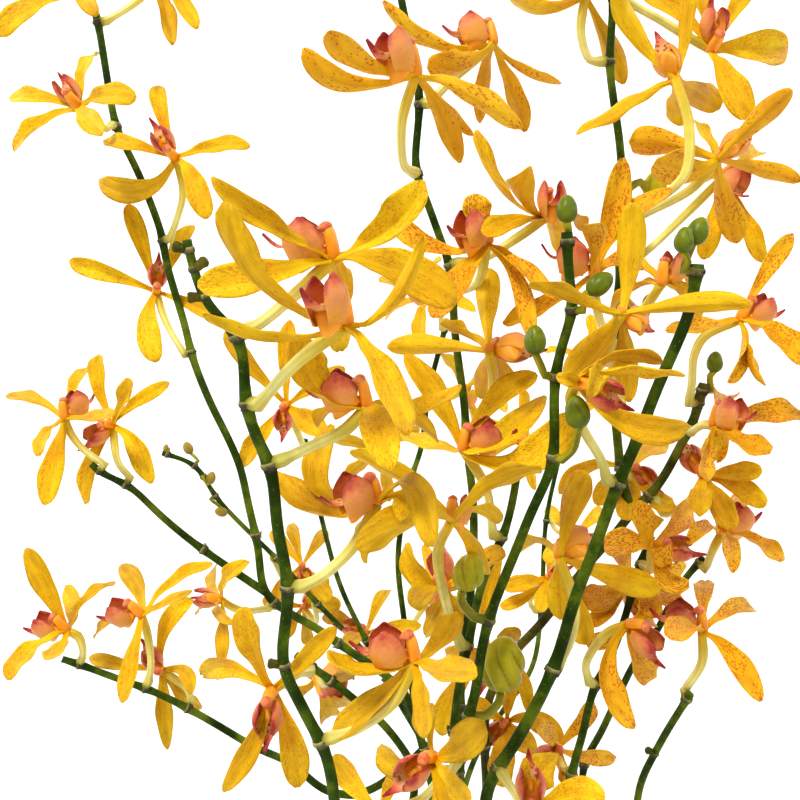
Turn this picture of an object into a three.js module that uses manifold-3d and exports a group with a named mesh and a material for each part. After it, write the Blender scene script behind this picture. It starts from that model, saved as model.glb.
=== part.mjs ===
// A potted orchid: three leafy canes in a plain clay pot, and seven branched flower sprays.
// Millimetres, +Z up, origin under the middle of the pot's base. Lengths are real sizes.
import * as THREE from "three";
import { mergeVertices } from "three/addons/utils/BufferGeometryUtils.js";
import Module from "manifold-3d";

const wasm = await Module();
wasm.setup();

// Pot and potting mix
const POT = { height: 185, footRadius: 82, rimRadius: 118, wall: 7, base: 12, rimDepth: 26, rimLip: 5 };
const DRAIN = { radius: 7, ring: 45, count: 4 };
const MIX = { top: 160, crown: 4, clearance: 0.6 };

// Canes and leaves
const CANE = { radius: 8, sunk: 60, sides: 8, steps: 5 };
const LEAF = { length: 195, width: 33, fold: 5, thick: 2.2, stations: 6 };

// Flower sprays
const SEAT_GAP = 0.45;
const STALK_SIDES = 5;
const STALK_STEP = 24;
const PEDICEL = { radius: 1.5, rise: 3 };
const TEPAL = { length: 36, thick: 0.9, bow: 4, tipPull: 0.1 };
const CORE_RADIUS = 3.4;
const LIP = { forward: 6.2, side: 2, radii: [6, 5, 6.4] };
const HEART = { forward: 3, side: 1, radii: [5, 5, 6.6] };
// halfWidths: place along the petal, and half the width there.
const NEAR = { halfWidths: [[0.02, 1.2], [0.38, 2.2], [0.7, 5.2]], stemSteps: 4, stemSides: 4 };
const FAR = { halfWidths: [[0.02, 1.3], [0.65, 5.2]], stemSteps: 3, stemSides: 3 };
const BUD_SLENDER = 0.74;

// The place the sprays are seen from. A spray's route and its flowers are given as the column and
// row of an 800 by 800 picture and a distance in front of that place.
const SIGHT = new THREE.Vector3(-27, -400, 740);
const FOCAL = 900;
const PICTURE_CENTRE = 400;

const COLOURS = {
  clay: [0xb5683f, 0.85],
  bark: [0x4a3526, 0.95],
  cane: [0x5d7a35, 0.6],
  leaf: [0x3f6b2a, 0.5],
  stalk: [0x3c5a20, 0.5],
  petal: [0xf0b41e, 0.55],
};

function seen(column, row, distance) {
  return new THREE.Vector3(
    SIGHT.x + ((column - PICTURE_CENTRE) / FOCAL) * distance,
    SIGHT.y + distance,
    SIGHT.z - ((row - PICTURE_CENTRE) / FOCAL) * distance,
  );
}

// A closed geometry as a solid that can be joined and cut.
function solidOf(geometry) {
  const bare = geometry.clone();
  bare.deleteAttribute("normal");
  bare.deleteAttribute("uv");
  const merged = mergeVertices(bare, 1e-4);
  return new wasm.Manifold(
    new wasm.Mesh({
      numProp: 3,
      vertProperties: new Float32Array(merged.attributes.position.array),
      triVerts: new Uint32Array(merged.index.array),
    }),
  );
}

function geometryOf(solid) {
  const mesh = solid.getMesh();
  const geometry = new THREE.BufferGeometry();
  geometry.setAttribute("position", new THREE.BufferAttribute(mesh.vertProperties, 3));
  geometry.setIndex(new THREE.BufferAttribute(mesh.triVerts, 1));
  geometry.computeVertexNormals();
  return geometry;
}

function joined(solids) {
  return wasm.Manifold.union(solids);
}

// A tube of even radius along points that are already a step apart.
function tube(points, radius, sides) {
  const section = new THREE.Shape();
  for (let i = 0; i < sides; i++) {
    const turn = (i / sides) * 2 * Math.PI;
    const corner = [radius * Math.cos(turn), radius * Math.sin(turn)];
    if (i) section.lineTo(...corner);
    else section.moveTo(...corner);
  }
  const path = new THREE.CatmullRomCurve3(points, false, "centripetal");
  const steps = Math.max(points.length - 1, 1);
  const geometry = new THREE.ExtrudeGeometry(section, { steps, extrudePath: path, bevelEnabled: false });
  return solidOf(geometry);
}

// A closed body through rings of points, ending in one tip point.
function loft(rings, tip) {
  const size = rings[0].length;
  const points = [...rings.flat(), tip];
  const last = points.length - 1;
  const faces = [];
  for (let i = 2; i < size; i++) faces.push(0, i, i - 1);
  for (let r = 1; r < rings.length; r++) {
    for (let i = 0; i < size; i++) {
      const [a, b] = [(r - 1) * size + i, (r - 1) * size + ((i + 1) % size)];
      faces.push(a, b, b + size, a, b + size, a + size);
    }
  }
  const top = (rings.length - 1) * size;
  for (let i = 0; i < size; i++) faces.push(top + i, top + ((i + 1) % size), last);
  const geometry = new THREE.BufferGeometry();
  const places = new Float32Array(points.flatMap((p) => p.toArray()));
  geometry.setAttribute("position", new THREE.BufferAttribute(places, 3));
  geometry.setIndex(faces);
  return solidOf(geometry);
}

// Points a step apart along a smooth curve.
function spaced(points, step) {
  const curve = new THREE.CatmullRomCurve3(points, false, "centripetal");
  const count = Math.max(2, Math.round(curve.getLength() / step));
  return curve.getSpacedPoints(count);
}

// Clay pot, turned: tapered wall, thicker rim, flat foot with four drain holes.
function pot() {
  const { height, footRadius, rimRadius, wall, base, rimDepth, rimLip } = POT;
  const slope = (rimRadius - footRadius) / height;
  const outer = (z) => footRadius + slope * z;
  const rimFoot = height - rimDepth;
  const profile = [
    [0, 0],
    [footRadius, 0],
    [outer(rimFoot), rimFoot],
    [outer(rimFoot) + rimLip, rimFoot],
    [rimRadius + rimLip, height],
    [rimRadius + rimLip - wall, height],
    [outer(base) - wall, base],
    [0, base],
  ].map(([radius, z]) => new THREE.Vector2(radius, z));
  const turned = new THREE.LatheGeometry(profile, 32);
  turned.rotateX(Math.PI / 2);
  let solid = solidOf(turned);
  for (let i = 0; i < DRAIN.count; i++) {
    const turn = ((i + 0.5) / DRAIN.count) * 2 * Math.PI;
    const hole = new THREE.CylinderGeometry(DRAIN.radius, DRAIN.radius, base * 3, 12);
    hole.rotateX(Math.PI / 2);
    hole.translate(DRAIN.ring * Math.cos(turn), DRAIN.ring * Math.sin(turn), 0);
    solid = solid.subtract(solidOf(hole));
  }
  return solid;
}

// Bark and charcoal mix, packed inside the pot around the sunk feet of the canes.
function pottingMix(caneFeet) {
  const { height, footRadius, rimRadius, wall, base } = POT;
  const slope = (rimRadius - footRadius) / height;
  const bottom = base + MIX.clearance;
  const inner = (z) => footRadius + slope * z - wall - MIX.clearance;
  const profile = [
    [0, bottom],
    [inner(bottom) - 1, bottom],
    [inner(MIX.top), MIX.top],
    [inner(MIX.top) * 0.6, MIX.top + MIX.crown],
    [0, MIX.top + MIX.crown],
  ].map(([radius, z]) => new THREE.Vector2(radius, z));
  const turned = new THREE.LatheGeometry(profile, 32);
  turned.rotateX(Math.PI / 2);
  let solid = solidOf(turned);
  for (const foot of caneFeet) solid = solid.subtract(foot);
  return solid;
}

// Canes: the foot and the top of each, and the turn of its two ranks of leaves.
const CANES = [
  { foot: [-34, -12], top: [-40, -16, 455], rank: 104, firstLeaf: 205, spacing: 44, leaves: 6 },
  { foot: [34, -18], top: [38, -20, 470], rank: 238, firstLeaf: 204, spacing: 44, leaves: 5 },
  { foot: [4, 38], top: [2, 48, 440], rank: 172, firstLeaf: 228, spacing: 44, leaves: 5 },
];

function canePath({ foot, top }) {
  const start = new THREE.Vector3(...foot, MIX.top - CANE.sunk);
  return new THREE.LineCurve3(start, new THREE.Vector3(...top));
}

function caneSolid(cane, swell) {
  const points = canePath(cane).getPoints(CANE.steps);
  if (swell) {
    const down = points[0].clone().sub(points[1]).normalize();
    points[0].addScaledVector(down, swell);
  }
  return tube(points, CANE.radius + swell, CANE.sides);
}

// A strap leaf: folded along its keel, rising from the cane and arching over.
function leafSolid(cane, index) {
  const path = canePath(cane);
  const span = path.v2.z - path.v1.z;
  const height = cane.firstLeaf + index * cane.spacing;
  const axis = path.getPoint((height - path.v1.z) / span);
  const sway = 7 * Math.sin(index * 2.3 + cane.rank);
  const turn = THREE.MathUtils.degToRad(cane.rank + (index % 2) * 180 + sway);
  const out = new THREE.Vector3(Math.cos(turn), Math.sin(turn), 0);
  const up = new THREE.Vector3(0, 0, 1);
  const length = LEAF.length * (1 - 0.06 * index);
  const base = axis.clone().addScaledVector(out, CANE.radius + SEAT_GAP);
  const point = (reach, rise) => {
    return base.clone().addScaledVector(out, reach * length).addScaledVector(up, rise * length);
  };
  const tip = point(0.98, 0.1 + 0.02 * index);
  const curve = new THREE.CubicBezierCurve3(base, point(0.2, 0.22), point(0.62, 0.42), tip);
  const across = new THREE.Vector3().crossVectors(up, out);
  const rings = [];
  for (let i = 0; i < LEAF.stations; i++) {
    const s = i / LEAF.stations;
    const centre = curve.getPoint(s);
    const along = curve.getTangent(s);
    const normal = new THREE.Vector3().crossVectors(along, across);
    if (i === 0) normal.set(0, 0, 1);
    const half = (LEAF.width / 2) * Math.min(1, 0.42 + 2.4 * s) * Math.sqrt(1 - s ** 3);
    const fold = LEAF.fold * (1 - 0.6 * s);
    const at = (side, rise) => centre.clone().addScaledVector(across, side).addScaledVector(normal, rise);
    rings.push([at(-half, fold), at(0, -LEAF.thick / 2), at(half, fold), at(0, LEAF.thick / 2)]);
  }
  return loft(rings, tip);
}

// Spray routes, each from its root on a cane (millimetres) and then as seen, base to tip.
// near is the distance at the first and the last seen point.
const SPRAYS = {
  left: {
    radius: 1.8,
    root: [[-31, -9, 396], [-25, -4, 430], [-16, 2, 505]],
    route: [[432, 780], [424, 749], [417, 728], [407, 694], [389, 678], [372, 665], [355, 655],
      [320, 630],
      [289, 613], [265, 594], [258, 546], [248, 503], [241, 469], [229, 440], [209, 400], [191, 353],
      [186, 329], [172, 283], [165, 258], [163, 239], [138, 172], [116, 127], [110, 96], [103, 52],
      [98, 22], [91, -5], [84, -45], [80, -72], [79, -100]],
    near: [405, 384],
    branches: {
      left_low: {
        radius: 1.6,
        route: [[424, 749], [398, 772], [362, 794], [327, 792], [290, 762], [258, 749], [214, 723],
          [172, 700], [145, 688], [110, 676], [79, 664], [62, 659]],
        near: [404, 366],
      },
      left_side: {
        radius: 1.6,
        route: [[265, 594], [225, 565], [190, 540], [160, 515], [127, 484], [103, 475], [91, 464]],
        near: [399, 386],
      },
    },
  },
  front: {
    radius: 1.8,
    root: [[-42.4, -23.7, 372], [-46, -62, 425], [-48, -104, 520]],
    route: [[334, 795], [324, 747], [310, 723], [296, 694], [281, 666], [283, 640], [287, 613],
      [289, 585],
      [277, 529], [271, 464], [257, 441], [245, 403], [244, 375], [241, 333], [215, 317], [198, 298],
      [199, 284], [195, 269], [186, 253], [187, 240]],
    near: [262, 216],
    branches: {
      front_low: {
        radius: 1.55,
        root: [[-47, -92, 490], [-34, -84, 545]],
        route: [[415, 771], [403, 749], [383, 723], [355, 700], [331, 680], [310, 666], [296, 655]],
        near: [334, 318],
      },
    },
  },
  middle: {
    radius: 1.75,
    root: [[30, -27, 392], [16, -56, 450], [0, -84, 535]],
    route: [[457, 788], [465, 725], [474, 702], [481, 651], [491, 612], [507, 572], [521, 538],
      [533, 507],
      [553, 465], [554, 407], [555, 376], [564, 338], [574, 310], [572, 296], [568, 269], [567, 232]],
    near: [298, 268],
    branches: {
      middle_side: {
        radius: 1.6,
        root: [[2, -80, 524], [-2, -82, 570]],
        route: [[454, 733], [461, 676], [471, 632], [479, 593], [493, 555], [503, 538], [514, 495],
          [517, 474]],
        near: [318, 308],
      },
      middle_tall: {
        radius: 1.5,
        root: [[1, -82, 528], [-5, -78, 590]],
        route: [[461, 680], [470, 600], [474, 534], [472, 486], [467, 452], [465, 410], [460, 372],
          [455, 336],
          [450, 265], [441, 241], [424, 193], [415, 172], [420, 96], [409, 34], [401, 0],
            [396, -50], [398, -78]],
        near: [334, 302],
      },
    },
  },
  right: {
    radius: 2.1,
    root: [[40.4, -29.6, 428], [26, -60, 480], [12, -86, 555]],
    route: [[486, 793], [514, 745], [538, 702], [556, 662], [576, 595], [592, 555], [604, 521],
      [618, 483],
      [637, 441], [654, 395], [673, 352], [688, 317], [695, 286], [697, 264]],
    near: [300, 275],
  },
  right_low: {
    radius: 1.6,
    root: [[45.5, -23.7, 365], [56, -50, 430], [48, -68, 530]],
    route: [[571, 778], [583, 735], [594, 685], [604, 671], [623, 625], [632, 592], [640, 564],
      [652, 536]],
    near: [322, 330],
    branches: {
      right_side: {
        radius: 1.55,
        root: [[55, -56, 455], [68, -52, 520]],
        route: [[637, 800], [657, 749], [690, 694]],
        near: [350, 320],
      },
      right_high: {
        radius: 1.5,
        root: [[50, -60, 500], [54, -38, 550]],
        route: [[582, 770], [600, 735], [618, 696], [637, 658], [657, 632], [673, 597], [694, 567],
          [704, 558]],
        near: [372, 342],
      },
    },
  },
  right_back: {
    radius: 2.0,
    root: [[3.7, 36.3, 392], [10, 16, 440], [13, 0, 510]],
    route: [[487, 800], [486, 771], [484, 735], [488, 700], [500, 675], [517, 648], [534, 632],
      [552, 610],
      [600, 550], [616, 534], [632, 511], [650, 496], [671, 465], [682, 441], [695, 422], [699, 396],
      [704, 384]],
    near: [392, 332],
    branches: {
      right_tall: {
        radius: 1.6,
        route: [[632, 511], [622, 480], [617, 434], [614, 400], [616, 330], [621, 250], [621, 155],
          [614, 103], [609, 62], [611, 40], [613, 0], [616, -40], [612, -66]],
        near: [352, 322],
      },
    },
  },
  back: {
    radius: 1.75,
    root: [[4, 56, 372], [2, 76, 425], [-4, 96, 500]],
    route: [[425, 760], [412, 690], [405, 627], [398, 555], [412, 475], [421, 450], [428, 395],
      [437, 358],
      [446, 325]],
    near: [520, 500],
    branches: {
      back_left: {
        radius: 1.4,
        route: [[419, 728], [372, 660], [318, 604], [276, 558], [243, 526], [215, 496], [195, 465],
          [162, 453]],
        near: [518, 470],
      },
      back_inner: {
        radius: 1.4,
        route: [[421, 740], [392, 690], [366, 640], [340, 585], [322, 520], [310, 470], [305, 440]],
        near: [519, 420],
      },
      back_right: {
        radius: 1.55,
        root: [[-3, 92, 485], [14, 116, 530]],
        route: [[500, 715], [532, 668], [541, 611], [546, 521], [560, 455], [572, 400]],
        near: [545, 560],
      },
    },
  },
};

// The place nearest to a point on a line through points.
function nearestOn(points, target) {
  const piece = new THREE.Line3();
  const places = points.slice(1).map((end, i) => {
    return piece.set(points[i], end).closestPointToPoint(target, true, new THREE.Vector3());
  });
  return places.reduce((a, b) => (a.distanceTo(target) <= b.distanceTo(target) ? a : b));
}

// Each branch as points a step apart, from its root to its tip. A side branch starts on its parent.
const branches = {};
function layBranch(name, spray, { root = [], route, near, radius }) {
  const lengths = [0];
  for (let i = 1; i < route.length; i++) {
    const [a, b] = [route[i - 1], route[i]];
    lengths.push(lengths[i - 1] + Math.hypot(b[0] - a[0], b[1] - a[1]));
  }
  const total = lengths.at(-1);
  const points = root.map((p) => new THREE.Vector3(...p));
  route.forEach(([column, row], i) => {
    points.push(seen(column, row, near[0] + ((near[1] - near[0]) * lengths[i]) / total));
  });
  if (name !== spray) points[0] = nearestOn(branches[spray].points, points[0]);
  branches[name] = { spray, radius, points: spaced(points, STALK_STEP) };
}
for (const [name, spray] of Object.entries(SPRAYS)) {
  layBranch(name, name, spray);
  for (const [side, branch] of Object.entries(spray.branches ?? {})) layBranch(side, name, branch);
}

// The place on a branch that is seen nearest to a column and row, with the way the branch runs there.
function nodeOn(branch, [column, row]) {
  let best = { miss: Infinity };
  const picture = (p) => {
    const distance = p.y - SIGHT.y;
    return [
      PICTURE_CENTRE + ((p.x - SIGHT.x) * FOCAL) / distance,
      PICTURE_CENTRE - ((p.z - SIGHT.z) * FOCAL) / distance,
    ];
  };
  for (let i = 1; i < branch.points.length; i++) {
    for (const share of [0.2, 0.4, 0.6, 0.8]) {
      const place = branch.points[i - 1].clone().lerp(branch.points[i], share);
      const [c, r] = picture(place);
      const miss = Math.hypot(c - column, r - row);
      if (miss < best.miss) {
        best = { miss, place, along: branch.points[i].clone().sub(branch.points[i - 1]).normalize() };
      }
    }
  }
  return best;
}

// A flower stem from its seat on the branch, through what is seen of it, to the flower's back.
function pedicel(branch, node, via, centre, radius) {
  const { place, along } = nodeOn(branch, node);
  const nearStart = place.y - SIGHT.y;
  const nearEnd = centre.y - SIGHT.y;
  const middle = via.map(([column, row, distance], i) => {
    const share = (i + 1) / (via.length + 1);
    return seen(column, row, distance ?? nearStart + (nearEnd - nearStart) * share);
  });
  const towards = (middle[0] ?? centre).clone().sub(place);
  const side = towards.addScaledVector(along, -towards.dot(along)).normalize();
  const seat = place.clone().addScaledVector(side, branch.radius + SEAT_GAP);
  const rise = place.clone().addScaledVector(side, branch.radius + PEDICEL.rise);
  return { seat, rise, middle, radius };
}

function stemSolid({ seat, rise, middle, radius }, end, steps, sides) {
  const curve = new THREE.CatmullRomCurve3([rise, ...middle, end], false, "centripetal");
  return tube([seat, ...curve.getSpacedPoints(steps)], radius, sides);
}

// One petal or sepal: narrow claw, broad blade, blunt tip, bowed forward between its two ends.
function tepal(centre, tip, face, halfWidths) {
  const middle = centre.clone().lerp(tip, 0.5).addScaledVector(face, 2 * TEPAL.bow);
  const curve = new THREE.QuadraticBezierCurve3(centre, middle, tip);
  const rings = halfWidths.map(([s, half]) => {
    const at = curve.getPoint(s);
    const along = curve.getTangent(s);
    const across = new THREE.Vector3().crossVectors(along, face).normalize();
    const normal = new THREE.Vector3().crossVectors(across, along);
    return [
      at.clone().addScaledVector(across, half),
      at.clone().addScaledVector(normal, -TEPAL.thick),
      at.clone().addScaledVector(across, -half),
    ];
  });
  return loft(rings, tip);
}

// The depth of a tip follows from the petal's length and the way that the flower faces.
function tipPlace(centre, near, face, [column, row, towards]) {
  if (towards !== undefined) return seen(column, row, near - towards);
  const ray = seen(column, row, near).sub(SIGHT).normalize();
  const nearest = centre.clone().sub(SIGHT).dot(ray);
  const miss = SIGHT.clone().addScaledVector(ray, nearest).distanceTo(centre);
  const depth = Math.sqrt(Math.max(0, TEPAL.length ** 2 - miss ** 2));
  const [a, b] = [-1, 1].map((sign) => SIGHT.clone().addScaledVector(ray, nearest + sign * depth));
  const lift = (p) => Math.abs(p.clone().sub(centre).dot(face) - TEPAL.tipPull * TEPAL.length);
  return lift(a) <= lift(b) ? a : b;
}

// The lip's lobes, or the heart of a far flower: a faceted egg in front of the flower's centre.
function egg(centre, forward, lipSide, place) {
  const across = new THREE.Vector3().crossVectors(lipSide, forward);
  const body = new THREE.OctahedronGeometry(1, 0);
  body.scale(...place.radii);
  body.applyMatrix4(new THREE.Matrix4().makeBasis(across, lipSide, forward));
  const at = centre.clone().addScaledVector(forward, place.forward).addScaledVector(lipSide, place.side);
  body.translate(...at.toArray());
  return solidOf(body);
}

// A flower with its stem. tips: back sepal, two petals, two side sepals; the lip lies opposite the first.
function flowerSolid({ on, node, via, at, near, face, tips }, detail) {
  const centre = seen(...at, near);
  const forward = new THREE.Vector3(face[0], -face[2], face[1]).normalize();
  const ends = tips.map((tip) => tipPlace(centre, near, forward, tip));
  const lipSide = centre.clone().sub(ends[0]);
  lipSide.addScaledVector(forward, -lipSide.dot(forward)).normalize();
  const solids = ends.map((end) => tepal(centre, end, forward, detail.halfWidths));
  const stem = pedicel(branches[on], node, via, centre, PEDICEL.radius);
  solids.push(stemSolid(stem, centre, detail.stemSteps, detail.stemSides));
  if (detail === FAR) {
    solids.push(egg(centre, forward, lipSide, HEART));
  } else {
    const core = new THREE.OctahedronGeometry(CORE_RADIUS, 0);
    core.translate(...centre.toArray());
    solids.push(solidOf(core), egg(centre, forward, lipSide, LIP));
  }
  return joined(solids);
}

// The swollen foot that joins a flower stem to its spray.
function knob({ on, node }) {
  const place = nodeOn(branches[on], node).place;
  const foot = new THREE.OctahedronGeometry(branches[on].radius + 1.6, 0);
  foot.translate(...place.toArray());
  return solidOf(foot);
}

// A closed bud on its short stem.
function budSolid({ on, node, via, at, near, length, point }) {
  const centre = seen(...at, near);
  const way = new THREE.Vector3(point[0], -point[2], point[1]).normalize();
  const bud = new THREE.IcosahedronGeometry(length / 2, 0);
  bud.scale(BUD_SLENDER, BUD_SLENDER, 1);
  bud.applyQuaternion(new THREE.Quaternion().setFromUnitVectors(new THREE.Vector3(0, 0, 1), way));
  bud.translate(...centre.toArray());
  const stem = pedicel(branches[on], node, via, centre, PEDICEL.radius * 0.8);
  stem.seat = nodeOn(branches[on], node).place;
  return joined([solidOf(bud), stemSolid(stem, centre, 2, FAR.stemSides)]);
}

function flower(name, on, node, via, at, near, face, tips) {
  return { name, on, node, via, at, near, face, tips };
}

// Flowers that are pieces of their own. face: to the right, up, and towards the viewer.
const FLOWERS = [
  flower("flower_02", "left", [98, 22], [[112, 18], [141, -2]], [152, -20], 388, [0.2, 0.9, 0.4],
    [[215, -45], [197, 28], [172, 45], [110, -62], [165, -95]]),
  flower("flower_03", "left", [116, 127], [[106, 129]], [80, 108], 374, [-0.35, 0.45, 0.8],
    [[10, 98], [97, 52], [10, 150], [135, 98], [102, 136]]),
  flower("flower_04", "left", [163, 239], [[176, 222], [183, 192]], [176, 158], 380, [-0.15, 0.1, 0.98],
    [[157, 82], [103, 140], [250, 143], [99, 180], [205, 219]]),
  flower("flower_05", "left", [191, 353], [[172, 334], [162, 312]], [157, 292], 405, [0.25, 0.1, 0.95],
    [[128, 205], [68, 262], [192, 222], [157, 362], [222, 320]]),
  flower("flower_06", "left_side", [98, 471], [[84, 450], [71, 434]],
    [65, 419], 380, [-0.15, 0.97, 0.15],
    [[8, 396], [38, 455], [87, 367], [112, 412], [44, 505]]),
  flower("flower_07", "left_side", [127, 484], [[118, 462]], [113, 426], 394, [-0.3, 0.2, 0.9],
    [[134, 384], [98, 352, -4], [168, 383], [150, 484], [86, 503, -8]]),
  flower("flower_08", "left_low", [80, 664], [[83, 650], [78, 636]], [67, 631], 362, [-0.45, 0.8, 0.35],
    [[115, 582], [66, 586], [52, 656], [27, 548], [8, 679]]),
  flower("flower_09", "left_low", [145, 688], [[151, 662], [147, 632]],
    [142, 616], 366, [-0.5, 0.75, 0.4],
    [[212, 562], [120, 564], [190, 590], [122, 703], [92, 636]]),
  flower("flower_10", "left_low", [186, 705], [[188, 690]], [162, 670], 390, [0.05, 0.15, 0.98],
    [[193, 600], [88, 657], [190, 694], [167, 751, -4], [200, 708, -20]]),
  flower("flower_11", "left", [273, 600], [[246, 611], [232, 607]], [222, 600], 402, [-0.75, 0.3, 0.5],
    [[247, 562], [213, 564], [233, 624], [221, 664], [200, 612]]),
  flower("flower_12", "front_low", [310, 666], [[298, 674]], [273, 690], 298, [-0.1, 0, 0.99],
    [[247, 607], [203, 675], [336, 627], [222, 793], [297, 786]]),
  flower("flower_13", "front", [245, 403], [[295, 364]], [345, 326], 206, [-0.1, 0.98, 0.05],
    [[423, 236, 6], [406, 436], [340, 352, -30], [228, 202], [205, 308]]),
  flower("flower_14", "front", [241, 333], [[262, 322], [300, 290]], [333, 260], 224, [-0.1, 0.97, 0.2],
    [[420, 183], [456, 304, -8], [346, 306, -26], [212, 178], [199, 283]]),
  flower("flower_15", "front", [271, 464], [[312, 446], [345, 430]],
    [366, 408], 238, [-0.1, 0.95, 0.25],
    [[440, 440, -12], [390, 468], [460, 383], [302, 335, 8], [318, 424, -20]]),
  flower("flower_17", "front", [290, 585], [[321, 577], [352, 548]],
    [377, 504], 244, [-0.15, 0.95, 0.25],
    [[428, 545], [397, 519, 10], [366, 562, -30], [272, 466], [333, 426]]),
  flower("flower_18", "front", [323, 743], [[355, 730], [392, 704]],
    [414, 662], 252, [-0.1, 0.95, 0.25],
    [[457, 612], [471, 672], [330, 650, 6], [426, 735], [331, 734, -6]]),
  flower("flower_19", "middle_side", [466, 645], [[446, 603], [438, 552]],
    [451, 521], 272, [0.05, 0.9, -0.3],
    [[488, 573], [350, 452], [357, 549, 42], [540, 467], [498, 521]]),
  flower("flower_20", "middle_side", [505, 538], [[486, 488]], [463, 450], 296, [0.05, 0.9, 0.4],
    [[402, 432], [547, 394], [537, 374], [571, 412], [407, 352]]),
  flower("flower_21", "middle_tall", [466, 432], [[488, 408], [493, 378]],
    [489, 351], 294, [0.3, 0.4, -0.85],
    [[490, 268, -8], [387, 346], [508, 392, -26], [440, 324, -12], [482, 398]]),
  flower("flower_22", "middle_tall", [452, 290], [[478, 282]], [487, 244], 288, [-0.15, 0.95, 0.25],
    [[557, 298], [476, 193, 6], [529, 338], [382, 204], [432, 316]]),
  flower("flower_23", "middle_tall", [450, 263], [[484, 258], [520, 236]],
    [547, 217], 300, [0, 0.95, 0.2],
    [[585, 226, -20], [560, 250, -26], [529, 167], [487, 230], [477, 130]]),
  flower("flower_24", "middle_tall", [415, 172], [[404, 165], [402, 122]],
    [415, 76], 278, [-0.15, 0.97, 0.15],
    [[523, 127], [460, 162], [470, 132], [304, 48], [330, 28]]),
  flower("flower_25", "middle_tall", [420, 100], [[450, 82]], [493, 44], 302, [-0.1, 0.95, -0.1],
    [[561, 83], [526, 131], [479, 122], [386, 0], [430, 58, 14]]),
  flower("flower_26", "right_tall", [609, 62], [[590, 60], [581, 34]], [585, -4], 328, [0, 0.95, 0.3],
    [[624, 84, -16], [640, -50], [560, -70], [600, -62, -20], [508, -4]]),
  flower("flower_27", "right_tall", [621, 204], [[654, 201, 297], [684, 176, 287], [689, 128, 293]],
    [676, 80], 308, [0.2, 0.3, -0.9],
    [[613, -12], [577, 136], [690, -32], [718, 106, -28], [682, 121]]),
  flower("flower_29", "right_tall", [622, 225], [[647, 213], [690, 190]],
    [717, 160], 306, [0.45, 0.45, -0.75],
    [[790, 91], [800, 178], [657, 157, 14], [739, 242], [626, 142, 4]]),
  flower("flower_30", "right", [640, 432], [[620, 396, 282], [610, 350, 275], [613, 328, 267]],
    [622, 314], 260, [0.2, 0.5, -0.85],
    [[632, 202, 4], [531, 281, 12], [752, 302, 6], [629, 402, -16], [566, 384, -10]]),
  flower("flower_31", "right_back", [697, 404], [[692, 382], [694, 356], [705, 336]],
    [740, 320], 318, [0.3, 0.85, 0.3],
    [[666, 331], [794, 233], [732, 382], [806, 361], [763, 385]]),
  flower("flower_32", "right_back", [692, 428], [[703, 425]], [714, 426], 308, [0.15, 0.95, 0.1],
    [[704, 480], [770, 455], [716, 462, -20], [804, 414], [728, 395, -28]]),
  flower("flower_33", "right", [618, 483], [[602, 462, 282], [584, 431, 277], [571, 402, 271]],
    [576, 382], 260, [0.45, -0.1, 0.85],
    [[587, 397, 15], [662, 364, 3], [556, 377, 8], [684, 381, 6], [691, 427, 4]]),
  flower("flower_34", "right_tall", [617, 345], [[600, 320]], [592, 277], 292, [0.1, 0.9, 0.3],
    [[640, 268, -14], [622, 158], [671, 187], [502, 322, -8], [588, 226, 22]]),
  flower("flower_39", "right_side", [690, 694], [[702, 662]], [702, 632], 312, [-0.1, 0.95, 0.3],
    [[756, 606], [761, 702], [705, 580], [650, 600], [672, 640]]),
];

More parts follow.
